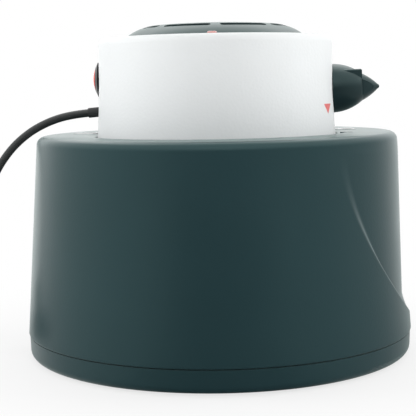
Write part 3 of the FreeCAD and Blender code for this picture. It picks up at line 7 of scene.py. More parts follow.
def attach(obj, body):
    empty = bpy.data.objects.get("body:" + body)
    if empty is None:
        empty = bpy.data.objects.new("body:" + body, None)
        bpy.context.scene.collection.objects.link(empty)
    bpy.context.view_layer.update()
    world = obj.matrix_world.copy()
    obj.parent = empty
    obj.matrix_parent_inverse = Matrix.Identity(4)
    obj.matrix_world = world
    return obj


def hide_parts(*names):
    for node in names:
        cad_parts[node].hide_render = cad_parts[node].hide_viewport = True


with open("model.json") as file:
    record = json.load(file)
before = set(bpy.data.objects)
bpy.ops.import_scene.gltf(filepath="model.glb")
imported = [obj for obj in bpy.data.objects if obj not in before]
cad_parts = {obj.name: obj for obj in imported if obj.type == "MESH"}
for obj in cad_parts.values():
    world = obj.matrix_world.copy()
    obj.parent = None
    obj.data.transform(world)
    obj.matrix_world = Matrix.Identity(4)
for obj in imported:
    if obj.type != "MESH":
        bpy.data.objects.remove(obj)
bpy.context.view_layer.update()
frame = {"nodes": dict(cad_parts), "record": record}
NODES = frame["nodes"]
MM = 0.001

# Camera: focal length and sensor in mm, place in metres, how far it looks down in degrees, roll in radians
LENS, SENSOR = 99.42, 36.0
CAMERA_AT = (-0.0082, -0.9598, 0.2240)
CAMERA_DOWN = 6.24
CAMERA_ROLL = -0.0180


def make_camera():
    data = bpy.data.cameras.new("camera")
    data.sensor_width = SENSOR
    data.lens = LENS
    camera = bpy.data.objects.new("camera", data)
    bpy.context.scene.collection.objects.link(camera)
    turn = Matrix.Rotation(math.radians(90 - CAMERA_DOWN), 4, "X") @ Matrix.Rotation(CAMERA_ROLL, 4, "Z")
    camera.matrix_world = Matrix.Translation(CAMERA_AT) @ turn
    bpy.context.scene.camera = camera


# Materials

class Nodes:
    """Lays out shader nodes in one tree."""

    def __init__(self, tree):
        self.tree = tree
        tree.nodes.clear()

    def link(self, a, b):
        self.tree.links.new(a, b)

    def feed(self, socket, value):
        if isinstance(value, (int, float)):
            socket.default_value = value
        elif isinstance(value, tuple):
            socket.default_value = value if socket.type == "VECTOR" else (*value, 1.0)
        else:
            self.link(value, socket)

    def add(self, kind, **sockets):
        node = self.tree.nodes.new(kind)
        for key, value in sockets.items():
            node.inputs[key.replace("_", " ")].default_value = value
        return node

    def ramp(self, value, low, high, to_low=0.0, to_high=1.0):
        node = self.tree.nodes.new("ShaderNodeMapRange")
        for name, number in (("Value", value), ("From Min", low), ("From Max", high),
                             ("To Min", to_low), ("To Max", to_high)):
            self.feed(node.inputs[name], number)
        return node.outputs["Result"]

    def math(self, operation, a, b):
        node = self.tree.nodes.new("ShaderNodeMath")
        node.operation = operation
        self.feed(node.inputs[0], a)
        self.feed(node.inputs[1], b)
        return node.outputs[0]

    def vector(self, operation, *values):
        node = self.tree.nodes.new("ShaderNodeVectorMath")
        node.operation = operation
        for socket, value in zip(node.inputs, values):
            self.feed(socket, value)
        return node.outputs["Value" if operation == "LENGTH" else "Vector"]

    def part(self, vector, name):
        node = self.tree.nodes.new("ShaderNodeSeparateXYZ")
        self.link(vector, node.inputs[0])
        return node.outputs[name]


class Maker(Nodes):
    """One procedural material."""

    def __init__(self, name):
        self.material = bpy.data.materials.new(name)
        self.material.use_nodes = True
        super().__init__(self.material.node_tree)
        self.out = self.tree.nodes.new("ShaderNodeOutputMaterial")
        self.shader = self.tree.nodes.new("ShaderNodeBsdfPrincipled")
        self.link(self.shader.outputs["BSDF"], self.out.inputs["Surface"])
        self.place = self.tree.nodes.new("ShaderNodeTexCoord").outputs["Object"]

    def stretched(self, scale):
        node = self.add("ShaderNodeMapping", Scale=scale)
        self.link(self.place, node.inputs["Vector"])
        return node.outputs["Vector"]

    def noise(self, scale, detail=3.0, rough=0.55, vector=None):
        node = self.add("ShaderNodeTexNoise", Scale=scale, Detail=detail, Roughness=rough)
        self.link(vector or self.place, node.inputs["Vector"])
        return node.outputs["Fac"]

    def cells(self, scale):
        node = self.add("ShaderNodeTexVoronoi", Scale=scale)
        self.link(self.place, node.inputs["Vector"])
        return node.outputs["Distance"]

    def mix(self, factor, a, b):
        node = self.tree.nodes.new("ShaderNodeMix")
        node.data_type = "RGBA"
        self.link(factor, node.inputs["Factor"])
        for name, value in (("A", a), ("B", b)):
            socket = [s for s in node.inputs if s.name == name and s.type == "RGBA"][0]
            self.feed(socket, value)
        return [s for s in node.outputs if s.type == "RGBA"][0]

    def bump(self, height, depth_mm):
        node = self.add("ShaderNodeBump", Strength=1.0, Distance=depth_mm * MM)
        self.link(height, node.inputs["Height"])
        return node.outputs["Normal"]

    def set(self, **sockets):
        for key, value in sockets.items():
            self.feed(self.shader.inputs[key.replace("_", " ")], value)
        return self.material


def shade(colour, factor):
    return tuple(min(1.0, c * factor) for c in colour)


def plastic(name, colour, rough, grain, depth, vary=0.10, bloom=0.0, tint=(1.0, 1.0, 1.0)):
    """Moulded plastic with a fine spark-eroded grain, slight flow marks and handling wear.

    The grain's depth is in millimetres. The tint colours its gloss, and bloom pales it at grazing angles.
    """
    m = Maker(name)
    flow = m.noise(9.0, 4.0)
    tone = m.mix(m.ramp(flow, 0.3, 0.7), shade(colour, 1 - vary), shade(colour, 1 + vary))
    height = m.math("ADD", m.cells(grain), m.noise(grain * 0.6, 2.0))
    wear = m.ramp(m.noise(24.0, 3.0, 0.5), 0.25, 0.80, rough - 0.02, rough + 0.03)
    return m.set(Base_Color=tone, Roughness=wear, Specular_Tint=tint, Sheen_Weight=bloom,
                 Sheen_Tint=tint, Sheen_Roughness=0.35, Normal=m.bump(height, depth))


def metal(name, colour, rough, stretch=(1, 1, 1), vary=0.08):
    """Machined, drawn or plated metal with fine directional marks."""
    m = Maker(name)
    lines = m.noise(420.0, 3.0, 0.6, m.stretched(stretch))
    stain = m.noise(28.0, 4.0)
    tone = m.mix(m.ramp(stain, 0.3, 0.7), shade(colour, 1 - vary), shade(colour, 1 + vary))
    shine = m.ramp(lines, 0.3, 0.7, rough - 0.06, rough + 0.08)
    return m.set(Base_Color=tone, Metallic=1.0, Roughness=shine, Normal=m.bump(lines, 0.02))


def rubber(name, colour, rough=0.62):
    """Rubber with a fine grain and a little dust."""
    m = Maker(name)
    dust = m.noise(60.0, 5.0, 0.65)
    tone = m.mix(m.ramp(dust, 0.4, 0.8), colour, shade(colour, 1.5))
    grain = m.noise(1400.0, 2.0)
    return m.set(Base_Color=tone, Roughness=m.ramp(dust, 0.3, 0.8, rough - 0.05, rough + 0.1),
                 Normal=m.bump(grain, 0.05))


def clear(name, colour, rough, through, glow=0.0, coat=0.0):
    """Tinted see-through plastic with fine ribs, and for a lit part a weak glow of its own."""
    m = Maker(name)
    ribs = m.cells(700.0)
    tone = m.mix(m.ramp(m.noise(120.0, 3.0), 0.3, 0.7), shade(colour, 0.85), shade(colour, 1.15))
    m.set(Base_Color=tone, Roughness=rough, Transmission_Weight=through, IOR=1.49, Coat_Weight=coat,
          Coat_Roughness=0.08, Normal=m.bump(ribs, 0.03))
    if glow:
        m.set(Emission_Color=colour, Emission_Strength=glow)
    return m.material


def element_sheath(name):
    """Heater sheath: nickel alloy with heat colours and a little scale."""
    m = Maker(name)
    scale = m.noise(70.0, 6.0, 0.7)
    heat = m.mix(m.ramp(m.noise(14.0, 3.0), 0.35, 0.65), (0.30, 0.26, 0.22), (0.24, 0.25, 0.29))
    chalk = m.mix(m.ramp(scale, 0.6, 0.75), heat, (0.62, 0.60, 0.55))
    return m.set(Base_Color=chalk, Metallic=m.ramp(scale, 0.55, 0.75, 0.9, 0.1),
                 Roughness=m.ramp(scale, 0.3, 0.8, 0.32, 0.75), Normal=m.bump(scale, 0.12))


def woven(name, colour):
    """Narrow nylon webbing with a fuzzy loop face."""
    m = Maker(name)
    threads = m.add("ShaderNodeTexWave", Scale=520.0, Distortion=1.5)
    m.link(m.place, threads.inputs["Vector"])
    fuzz = m.noise(1500.0, 2.0)
    height = m.math("ADD", threads.outputs["Fac"], fuzz)
    tone = m.mix(m.ramp(height, 0.4, 1.6), shade(colour, 0.6), shade(colour, 1.8))
    return m.set(Base_Color=tone, Roughness=0.9, Sheen_Weight=0.3, Normal=m.bump(height, 0.15))


def printed(name, colour):
    """Screen-printed ink on grained plastic, a little thin in places."""
    m = Maker(name)
    thin = m.noise(900.0, 4.0, 0.7)
    tone = m.mix(m.ramp(thin, 0.35, 0.75), colour, tuple(0.7 * c + 0.2 for c in colour))
    return m.set(Base_Color=tone, Roughness=0.5, Normal=m.bump(m.noise(1200.0, 2.0), 0.02))


TANK = (0.0125, 0.034, 0.0395)
DARK = (0.010, 0.021, 0.024)
WHITE = (0.745, 0.765, 0.768)
GREENISH = (0.72, 1.0, 0.94)
MATERIALS = {
    "tank_plastic": plastic("tank_plastic", TANK, 0.31, grain=560.0, depth=0.024, vary=0.05, bloom=0.14,
                            tint=GREENISH),
    "cap_plastic": plastic("cap_plastic", DARK, 0.33, grain=1300.0, depth=0.014, bloom=0.18, tint=GREENISH),
    "white_plastic": plastic("white_plastic", WHITE, 0.55, grain=420.0, depth=0.07, vary=0.015),
    "black_plastic": plastic("black_plastic", (0.018, 0.019, 0.020), 0.38, grain=1300.0, depth=0.04),
    "liner_plastic": plastic("liner_plastic", (0.60, 0.62, 0.60), 0.45, grain=700.0, depth=0.03, vary=0.04),
    "cream_plastic": plastic("cream_plastic", (0.66, 0.61, 0.50), 0.5, grain=900.0, depth=0.03),
    "clear_plastic": clear("clear_plastic", (0.80, 0.74, 0.66), 0.12, 0.7),
    "red_plastic": clear("red_plastic", (0.80, 0.13, 0.10), 0.25, 0.25, glow=0.12, coat=1.0),
    "red_lens": clear("red_lens", (0.80, 0.33, 0.29), 0.10, 0.35, coat=1.0),
    "black_rubber": rubber("black_rubber", (0.020, 0.021, 0.022)),
    "cord_rubber": rubber("cord_rubber", (0.020, 0.023, 0.023), 0.5),
    "grey_silicone": rubber("grey_silicone", (0.34, 0.35, 0.36), 0.45),
    "tie_fabric": woven("tie_fabric", (0.025, 0.025, 0.028)),
    "stainless": metal("stainless", (0.58, 0.58, 0.57), 0.28, (1, 1, 0.04)),
    "element_sheath": element_sheath("element_sheath"),
    "zinc_steel": metal("zinc_steel", (0.60, 0.60, 0.57), 0.33),
    "nickel": metal("nickel", (0.66, 0.63, 0.58), 0.16),
    "brass": metal("brass", (0.62, 0.44, 0.17), 0.27, vary=0.12),
}


def dress_nodes():
    """Gives every carried-over CAD node the material of its slot."""
    slots = {s["node"]: s["material_slot"] for s in frame["record"]["subparts"]}
    for name, node in NODES.items():
        node.data.materials.clear()
        node.data.materials.append(MATERIALS[slots[name]])


def new_piece(name, points, faces, body, slot, material=None):
    """Smooth-shaded mesh piece from points in millimetres, riding on a body."""
    mesh = bpy.data.meshes.new(name)
    mesh.from_pydata([tuple(c * MM for c in p) for p in points], [], faces)
    mesh.validate()
    piece = bpy.data.objects.new(name, mesh)
    bpy.context.scene.collection.objects.link(piece)
    mesh.materials.append(material or MATERIALS[slot])
    mesh.polygons.foreach_set("use_smooth", [True] * len(mesh.polygons))
    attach(piece, body)
    return piece


def smooth_step(value):
    value = min(max(value, 0.0), 1.0)
    return value * value * (3 - 2 * value)


# Cord: where it leaves its sleeve, its free stretch, and the straight run that reaches the coil
EXIT = (-106.33, 0.0, 200.42)
FREE = [
    (-120.68, 0.0, 199.17), (-138.8, -0.5, 194.2), (-156.5, -1.0, 185.0), (-172.2, -1.5, 171.2),
    (-185.6, -2.0, 152.0), (-194.5, -2.2, 128.5), (-200.5, -2.6, 101.5), (-203.2, -3.0, 74.0),
    (-205.5, -3.2, 49.5), (-213.0, -3.4, 28.0), (-226.0, -3.8, 12.2), (-243.6, -4.0, 4.55),
]
LEAD = [(-319.0, 60.0, 11.55), (-319.7, 87.5, 15.55), (-320.2, 109.5, 18.85), (-320.45, 122.48, 18.85)]
# Coil: its middle, outer radius and turns, the step from turn to turn and from layer to layer, the turns of
# the low layer, and the part of a turn in which the cord climbs to the high one
COIL = {"x": -268.0, "y": 45.0, "z": 4.55, "r": 49.0, "turns": 7.25, "pitch": 7.0, "layer": 7.0, "low": 3.25,
        "climb": 0.5}
CORD_D = 6.5
PER_TURN = 12


def coil_route():
    """Control points of the coil's turns: in on the low layer, half a turn up, out on the high one."""
    points = []
    middle = COIL["low"] + COIL["climb"] / 2
    for k in range(int(COIL["turns"] * PER_TURN)):
        turn = (k + 0.5) / PER_TURN
        radius = COIL["r"] - COIL["pitch"] * (middle - abs(turn - middle))
        radius /= math.cos(math.pi / PER_TURN)
        rise = smooth_step((turn - COIL["low"]) / COIL["climb"])
        angle = math.radians(-90 - 360 * turn)
        points.append((COIL["x"] + radius * math.cos(angle), COIL["y"] + radius * math.sin(angle),
                       COIL["z"] + COIL["layer"] * rise))
    return points


def make_cord():
    curve = bpy.data.curves.new("cord", "CURVE")
    curve.dimensions = "3D"
    curve.resolution_u = 10
    curve.bevel_depth = CORD_D / 2 * MM
    curve.bevel_resolution = 6
    curve.use_fill_caps = True
    spline = curve.splines.new("NURBS")
    route = [EXIT, *FREE, *coil_route(), *LEAD]
    spline.points.add(len(route) - 1)
    for point, place in zip(spline.points, route):
        point.co = (*(c * MM for c in place), 1.0)
    spline.order_u = 3
    spline.use_endpoint_u = True
    spline.use_smooth = True
    cord = bpy.data.objects.new("cord", curve)
    bpy.context.scene.collection.objects.link(cord)
    curve.materials.append(MATERIALS["cord_rubber"])
    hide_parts("mains_cord", "cord_coil", "plug_lead")
    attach(cord, "head")
    return cord


def make_tie():
    """Hook-and-loop band round one side of the coil, its end lapped over itself on top."""
    # Distances from the coil's middle, heights, half the width, thickness and the corners' radius. Then the
    # rounded selvedge, how much the middle swells, how far the band waves, and its direction from the coil
    inner, outer = 20.6, 54.7
    low, high, half = 0.15, 14.95, 4.0
    thick, corner = 1.05, 3.4
    selvedge, swell, wave = 0.35, 1.06, 0.12
    spin = math.radians(60.0)
    path = []
    corners = [(outer - corner, low + corner, -90), (outer - corner, high - corner, 0),
               (inner + corner, high - corner, 90), (inner + corner, low + corner, 180)]
    for x, z, start in corners:
        for k in range(7):
            angle = math.radians(start + 15 * k)
            path.append((x + corner * math.cos(angle), z + corner * math.sin(angle)))
    path.append(path[0])
    points, faces = [], []

    def strip(line, lift, width):
        """Band of even thickness along a line, offset outwards, with rounded selvedges."""
        base = len(points)
        flat = width - selvedge
        rim = [(-width, thick * 0.5), (-flat, thick), (0.0, thick * swell), (flat, thick),
               (width, thick * 0.5), (flat, 0.0), (0.0, 0.0), (-flat, 0.0)]
        count = len(line)
        for i, (x, z) in enumerate(line):
            before, after = line[max(i - 1, 0)], line[min(i + 1, count - 1)]
            dx, dz = after[0] - before[0], after[1] - before[1]
            length = math.hypot(dx, dz) or 1.0
            nx, nz = dz / length, -dx / length
            for across, out in rim:
                reach = out + lift(i / (count - 1))
                px, pz = x + nx * reach, z + nz * reach
                py = across + wave * math.sin(0.9 * i)
                points.append((COIL["x"] + px * math.cos(spin) - py * math.sin(spin),
                               COIL["y"] + px * math.sin(spin) + py * math.cos(spin), pz))
        n = len(rim)
        for i in range(count - 1):
            for j in range(n):
                a, b = base + i * n + j, base + i * n + (j + 1) % n
                faces.append((a, b, b + n, a + n))
        faces.append(tuple(base + j for j in range(n)))
        faces.append(tuple(base + (count - 1) * n + j for j in reversed(range(n))))

    strip(path, lambda s: -thick, half)
    # The lap lies over the top of the loop, and its end stands a little proud of it
    lap = [p for p in path if p[1] > high - 0.6 and p[0] < outer - 1]
    lap = lap + [(inner + 0.2, high - corner - 2.4)]
    strip(lap, lambda s: 0.02 + 0.25 * smooth_step((s - 0.8) / 0.2), half - 0.3)
    tie = new_piece("tie_band", points, faces, "head", "tie_fabric")
    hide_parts("cord_tie")
    return tie


# Tank skin, in millimetres: the wall's radius at the seam and its lean per millimetre of height, the heights
# of the seam, foot and deck, the shoulder's radius and the radius at which its middle runs, and the wall
SEAM_R, LEAN, SEAM_Z, FOOT_Z, DECK_Z = 160.0, 0.072, 20.2, 20.6, 182.0
SHOULDER, SHOULDER_AT = 6.5, 142.30
WALL = 3.0
# Hollow: the ellipse's middle height, half width and drop, the height at which its floor fades into the wall,
# its depth at the lowest straight point, and the heights of that point and of the end of the flare
HOLLOW = {"z": 167.0, "half_w": 121.0, "drop": 137.0, "fade_z": 169.0, "depth": 5.3, "low_z": 48.5,
          "flare_z": 30.0}
# At its foot the hollow flares out to the wall, partly straight and partly in a curve
FLARE_STRAIGHT, FLARE_CURVED = 0.62, 0.38
# Width of its softened edge at the foot, how much it widens upwards, and from which height over which rise
EDGE_W, EDGE_MORE, EDGE_Z, EDGE_RISE = 3.4, 2.6, 40.0, 110.0
# Deck from the shoulder to the dip, then the dip, the head's seat and the neck's opening, and back underneath
DECK = (138, 133, 128, 123, 118, 114, 111, 109.6)
OPENING = [
    (108.4, 181.93), (105.0, 181.36), (101.3, 180.8), (100.85, 180.68), (100.7, 180.45), (100.7, 178.8),
    (100.5, 178.6), (93.3, 178.6), (93.1, 178.4), (93.1, 175.8), (92.9, 175.6), (84.35, 175.6),
    (84.15, 175.4), (84.15, 172.8), (84.3, 172.6), (96.1, 172.6), (96.2, 175.6), (103.7, 175.6),
    (103.7, 179.0), (138.0, 179.0),
]
# Heights at which the rows of the wall end outside and start inside, and the steps between rows
WALL_TOP_Z, WALL_STEP = 175.0, 1.1
LINING_TOP_Z, LINING_STEP = 172.0, 8.0
# Directions round the tank: from, to and step in degrees, close together where the hollow's edge runs
SECTORS = ((-62.0, 62.0, 0.25), (62.0, 298.0, 2.0))


def wall_r(z):
    return SEAM_R - LEAN * (z - SEAM_Z)


def hollow_cut(x_dir, y_dir, z):
    """How deep the hollow cuts into the wall at a height, in a direction round the axis.

    Its edge is half an ellipse as seen from the right, and its floor leans in with the wall.
    """
    if x_dir <= 0:
        return 0.0
    outer = wall_r(z)
    y = outer * y_dir
    u, v = y / HOLLOW["half_w"], (z - HOLLOW["z"]) / HOLLOW["drop"]
    f = math.hypot(u, v)
    if f >= 1.02 or v > 0.3:
        return 0.0
    slope = math.hypot(u / HOLLOW["half_w"], v / HOLLOW["drop"]) / max(f, 1e-6)
    inside = (1 - f) / max(slope, 1e-6)
    low_r = wall_r(HOLLOW["low_z"]) - HOLLOW["depth"]
    if z >= HOLLOW["low_z"]:
        lean = (wall_r(HOLLOW["fade_z"]) - low_r) / (HOLLOW["fade_z"] - HOLLOW["low_z"])
        floor_r = low_r + lean * (z - HOLLOW["low_z"])
    else:
        s = (HOLLOW["low_z"] - z) / (HOLLOW["low_z"] - HOLLOW["flare_z"])
        flare = FLARE_STRAIGHT * s + FLARE_CURVED * s * s
        floor_r = low_r + (wall_r(HOLLOW["flare_z"]) - low_r) * flare
    depth = max(outer - floor_r, 0.0)
    width = EDGE_W + EDGE_MORE * smooth_step((z - EDGE_Z) / EDGE_RISE)
    return depth * smooth_step(inside / width)


def tank_stations():
    """Closed outline of the shell: (radius, height, whether the hollow moves it)."""
    rows = [(wall_r(FOOT_Z) - WALL, FOOT_Z, True), (wall_r(FOOT_Z) - 0.5, FOOT_Z, True),
            (wall_r(FOOT_Z) - 0.15, FOOT_Z + 0.12, True), (wall_r(FOOT_Z) - 0.02, FOOT_Z + 0.5, True)]
    z = FOOT_Z + 1.4
    while z < WALL_TOP_Z:
        rows.append((wall_r(z), z, True))
        z += WALL_STEP
    start = math.degrees(math.atan(LEAN))
    for k in range(11):
        angle = math.radians(start + (90 - start) * k / 10)
        z = DECK_Z - SHOULDER + SHOULDER * math.sin(angle)
        rows.append((SHOULDER_AT + SHOULDER * math.cos(angle), z, False))
    rows += [(r, DECK_Z, False) for r in DECK]
    rows += [(r, z, False) for r, z in OPENING]
    z = LINING_TOP_Z
    while z > FOOT_Z + 1:
        rows.append((wall_r(z) - WALL, z, True))
        z -= LINING_STEP
    return rows


def tank_angles():
    angles = []
    for angle, end, step in SECTORS:
        while angle < end:
            angles.append(angle)
            angle += step
    return angles


def make_tank():
    """Tank with the soft edge of its hollow, in place of the solid."""
    rows, angles = tank_stations(), tank_angles()
    points, faces = [], []
    for angle in angles:
        c, s = math.cos(math.radians(angle)), math.sin(math.radians(angle))
        for r, z, moved in rows:
            r -= hollow_cut(c, s, max(z, FOOT_Z)) if moved else 0.0
            points.append((r * c, r * s, z))
    n, m = len(rows), len(angles)
    for i in range(m):
        for j in range(n):
            a, b = i * n + j, ((i + 1) % m) * n + j
            c, d = ((i + 1) % m) * n + (j + 1) % n, i * n + (j + 1) % n
            faces.append((a, b, c, d))
    tank = new_piece("tank_skin", points, faces, "tank", "tank_plastic")
    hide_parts("tank_shell")


def raised_line(points, faces, line, half, low, high):
    """Adds a raised bar with a flat top and rounded sides along a line on the deck."""
    base = len(points)
    side, top = half - 0.15, half - 0.35
    section = [(-half, low), (-side, high - 0.05), (-top, high), (top, high), (side, high - 0.05),
               (half, low)]
    count = len(line)
    for i, (x, y) in enumerate(line):
        before, after = line[max(i - 1, 0)], line[min(i + 1, count - 1)]
        dx, dy = after[0] - before[0], after[1] - before[1]
        length = math.hypot(dx, dy) or 1.0
        nx, ny = -dy / length, dx / length
        for across, z in section:
            points.append((x + nx * across, y + ny * across, z))
    n = len(section)
    for i in range(count - 1):
        for j in range(n - 1):
            a = base + i * n + j
            faces.append((a, a + n, a + n + 1, a + 1))
    faces.append(tuple(base + j for j in range(n)))
    faces.append(tuple(base + (count - 1) * n + j for j in reversed(range(n))))


def raised_plate(points, faces, outline, low, high):
    """Adds a flat raised patch with a small slope round its edge."""
    base, n = len(points), len(outline)
    cx, cy = sum(x for x, y in outline) / n, sum(y for x, y in outline) / n
    for shrink, z in ((1.0, low), (0.97, high - 0.04), (0.94, high)):
        points += [(cx + (x - cx) * shrink, cy + (y - cy) * shrink, z) for x, y in outline]
    for k in range(2 * n):
        ring, j = divmod(k, n)
        a, b = base + ring * n + j, base + ring * n + (j + 1) % n
        faces.append((a, b, b + n, a + n))
    faces.append(tuple(base + 2 * n + j for j in range(n)))


# Signs on the deck: the tick's direction, and for each lock its direction and whether its bow is shut
TICK = -15.0
TICK_R = (103.7, 104.1, 107, 110, 113.3, 113.7)
TICK_HALF, TICK_LOW, TICK_TOP = 1.2, 181.0, 182.2
LOCKS = [(17.0, True), (161.0, False)]
LOCK_R = 117.0
SIGN_LOW, SIGN_TOP = 181.9, 182.25
# A lock's body: half its width and its two edges, both less the round corners, and the corners' radius.
# Its bow: the middle line's radius and centre, half its thickness, and where its ends stop when shut and open
BODY_HALF, BODY_EDGES, BODY_CORNER = 8, (2, 10), 2
BOW_R, BOW_AT, BOW_HALF = 6, -4.0, 1.5
BOW_SHUT, BOW_OPEN = -0.6, -3.0


def make_deck_marks():
    """Raised tick where the head's pointer stands, and a shut and an open lock beside it."""
    points, faces = [], []
    c, s = math.cos(math.radians(TICK)), math.sin(math.radians(TICK))
    raised_line(points, faces, [(r * c, r * s) for r in TICK_R], TICK_HALF, TICK_LOW, TICK_TOP)
    low, high = BODY_EDGES
    corners = ((BODY_HALF, low, -90), (BODY_HALF, high, 0), (-BODY_HALF, high, 90), (-BODY_HALF, low, 180))
    for centre, shut in LOCKS:
        c, s = math.cos(math.radians(centre)), math.sin(math.radians(centre))

        def place(along, out, c=c, s=s):
            """Point along the deck's rim and outwards from the middle of the sign."""
            r = LOCK_R + out
            return r * c - along * s, r * s + along * c

        body = []
        for x, y, start in corners:
            for k in range(5):
                angle = math.radians(start + 22.5 * k)
                body.append(place(y + BODY_CORNER * math.sin(angle), x + BODY_CORNER * math.cos(angle)))
        raised_plate(points, faces, body, SIGN_LOW, SIGN_TOP)
        arch = [place(BOW_SHUT, -BOW_R)]
        for k in range(13):
            angle = math.radians(180 - 15 * k)
            arch.append(place(BOW_AT - BOW_R * math.sin(angle), BOW_R * math.cos(angle)))
        arch.append(place(BOW_SHUT if shut else BOW_OPEN, BOW_R))
        raised_line(points, faces, arch, BOW_HALF, SIGN_LOW, SIGN_TOP)
    new_piece("deck_marks", points, faces, "tank", "tank_plastic",
              plastic("polished_plastic", TANK, 0.10, grain=60.0, depth=0.004, vary=0.05))


# Head: radius and height of its wall's foot, waist and top
HEAD_ARC = [(98.7, 179.6), (97.1, 207.0), (96.4, 255.4)]


def head_r(z):
    """Outside radius of the head's wall, on the circle through those three points."""
    (x1, y1), (x2, y2), (x3, y3) = HEAD_ARC
    d = 2 * (x1 * (y2 - y3) + x2 * (y3 - y1) + x3 * (y1 - y2))
    q1, q2, q3 = x1 * x1 + y1 * y1, x2 * x2 + y2 * y2, x3 * x3 + y3 * y3
    cx = (q1 * (y2 - y3) + q2 * (y3 - y1) + q3 * (y1 - y2)) / d
    cy = (q1 * (x3 - x2) + q2 * (x1 - x3) + q3 * (x2 - x1)) / d
    radius = math.hypot(x1 - cx, y1 - cy)
    return cx - math.sqrt(radius * radius - (z - cy) ** 2)


def make_pointer():
    """Printed triangle on the head's wall, pointing down at the deck's tick."""
    # Heights of its edge and tip, half its width, its direction in degrees, and how far it stands proud
    top, tip, half, centre = 205.4, 197.4, 8.3, -24.0
    proud = 0.05
    rows, cols = 10, 16
    points, faces = [], []
    for i in range(rows + 1):
        t = i / rows
        z = top + (tip - top) * t
        r = head_r(z) + proud
        for j in range(cols + 1):
            across = half * (1 - t) * (2 * j / cols - 1)
            angle = math.radians(centre) + across / r
            points.append((r * math.cos(angle), r * math.sin(angle), z))
    for i in range(rows):
        for j in range(cols):
            a = i * (cols + 1) + j
            faces.append((a, a + cols + 1, a + cols + 2, a + 1))
    ink = printed("pointer_ink", (0.72, 0.105, 0.095))
    new_piece("head_pointer", points, faces, "head", "red_plastic", ink)


# What gloss sees of the room, by how far a direction points behind the object: -1 is straight in front of it
ROOM = [(-1.0, 0.02), (-0.97, 0.05), (-0.8, 0.38), (-0.64, 0.44), (0.0, 0.54), (0.31, 0.64), (0.56, 0.80),
        (0.74, 1.08), (0.89, 1.36), (1.0, 1.52)]
LEFT_SHARE, RIGHT_SHARE = 1.22, 0.78
# Overhead it sees the ceiling, which takes over between two heights of a direction
CEILING = 1.25
CEILING_FROM, CEILING_ALL = 0.15, 0.5
# Everything that isn't gloss or glass gets this even light
SOFT_LIGHT = 0.50

# Floor: half its side in metres and its two tones. Near the object a share of it is plain white, and between
# two distances that share rises to all
FLOOR = 6.0
FLOOR_TONES = (0.80, 0.80, 0.80), (0.82, 0.82, 0.82)
NEAR_WHITE, NEAR_FROM, NEAR_TO = 0.72, 0.15, 0.38

# Lamps: place and target in metres, size, power in watts, and whether gloss shows them
LAMPS = {
    "left_strip": ((-1.2, 0.0, 0.4), (0, 0, 0.14), (0.6, 1.3), 10.5, False),
    "right_strip": ((1.2, 0.0, 0.4), (0, 0, 0.14), (0.6, 1.3), 9.0, False),
    "top": ((0.0, 0.65, 1.35), (0, 0, 0.2), (1.6, 1.3), 8.0, True),
    "front_fill": ((0.2, -1.9, 1.0), (0, 0, 0.15), (1.2, 0.8), 16.0, False),
}


def room_light(nodes, direction):
    """Strength of the room's light in a direction: dark in front, dim beside, brightest behind."""
    level = nodes.vector("NORMALIZE", nodes.vector("MULTIPLY", direction, (1.0, 1.0, 0.0)))
    curve = nodes.tree.nodes.new("ShaderNodeValToRGB")
    nodes.link(nodes.ramp(nodes.part(level, "Y"), -1, 1), curve.inputs[0])
    stops = curve.color_ramp.elements
    while len(stops) < len(ROOM):
        stops.new(0.5)
    for stop, (behind, strength) in zip(stops, ROOM):
        stop.position = (behind + 1) / 2
        stop.color = (strength, strength, strength, 1.0)
    side = nodes.ramp(nodes.part(level, "X"), -1, 1, LEFT_SHARE, RIGHT_SHARE)
    return nodes.math("MULTIPLY", curve.outputs["Color"], side)


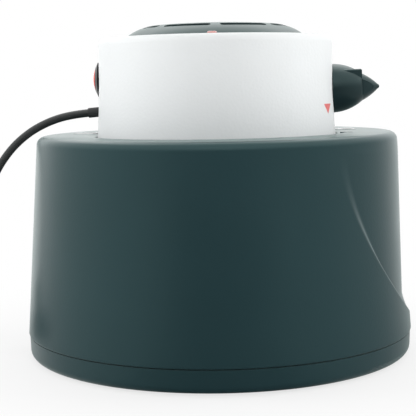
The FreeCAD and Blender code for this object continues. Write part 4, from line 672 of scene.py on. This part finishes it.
def make_stage():
    """Pale floor that keeps the shadow and runs out into white, under plain soft light."""
    floor_mesh = bpy.data.meshes.new("floor")
    corners = [(x * FLOOR, y * FLOOR, 0) for x, y in ((-1, -1), (1, -1), (1, 1), (-1, 1))]
    floor_mesh.from_pydata(corners, [], [(0, 1, 2, 3)])
    floor = bpy.data.objects.new("floor", floor_mesh)
    bpy.context.scene.collection.objects.link(floor)
    m = Maker("floor")
    m.set(Base_Color=m.mix(m.ramp(m.noise(3.0), 0.3, 0.7), *FLOOR_TONES), Roughness=0.9)
    path = m.tree.nodes.new("ShaderNodeLightPath")
    shiny = m.math("MAXIMUM", path.outputs["Is Glossy Ray"], path.outputs["Is Transmission Ray"])
    away = m.vector("LENGTH", m.place)
    white = m.ramp(away, NEAR_FROM, NEAR_TO, NEAR_WHITE, 1.0)
    share = m.math("MULTIPLY", path.outputs["Is Camera Ray"], white)
    glow = m.add("ShaderNodeEmission", Color=(1, 1, 1, 1))
    m.feed(glow.inputs["Strength"], m.ramp(shiny, 0, 1, 1.0, room_light(m, m.place)))
    blend = m.tree.nodes.new("ShaderNodeMixShader")
    m.link(m.math("MAXIMUM", share, shiny), blend.inputs["Fac"])
    m.link(m.shader.outputs["BSDF"], blend.inputs[1])
    m.link(glow.outputs[0], blend.inputs[2])
    m.link(blend.outputs[0], m.out.inputs["Surface"])
    floor_mesh.materials.append(m.material)


def make_world():
    """White to the camera, a room for gloss and glass, and an even soft light on everything."""
    world = bpy.data.worlds.new("studio")
    bpy.context.scene.world = world
    world.use_nodes = True
    w = Nodes(world.node_tree)
    path = w.tree.nodes.new("ShaderNodeLightPath")
    shiny = w.math("MAXIMUM", path.outputs["Is Glossy Ray"], path.outputs["Is Transmission Ray"])
    direction = w.tree.nodes.new("ShaderNodeTexCoord").outputs["Generated"]
    up = w.part(direction, "Z")
    room = w.ramp(up, CEILING_FROM, CEILING_ALL, room_light(w, direction), CEILING)
    level = w.ramp(path.outputs["Is Camera Ray"], 0, 1, w.ramp(shiny, 0, 1, SOFT_LIGHT, room), 1.0)
    background = w.add("ShaderNodeBackground", Color=(1, 1, 1, 1))
    w.feed(background.inputs["Strength"], level)
    w.link(background.outputs[0], w.add("ShaderNodeOutputWorld").inputs["Surface"])


def make_lights():
    for name, (place, target, size, power, glossy) in LAMPS.items():
        data = bpy.data.lights.new(name, "AREA")
        data.shape = "RECTANGLE"
        data.size, data.size_y = size
        data.energy = power
        light = bpy.data.objects.new(name, data)
        bpy.context.scene.collection.objects.link(light)
        light.location = place
        light.rotation_euler = (Vector(target) - Vector(place)).to_track_quat("-Z", "Y").to_euler()
        light.visible_glossy = glossy


make_camera()
cord = make_cord()
tie = make_tie()
make_tank()
make_deck_marks()
make_pointer()
dress_nodes()
make_stage()
make_world()
make_lights()

view = bpy.context.scene.view_settings
view.view_transform = "Standard"
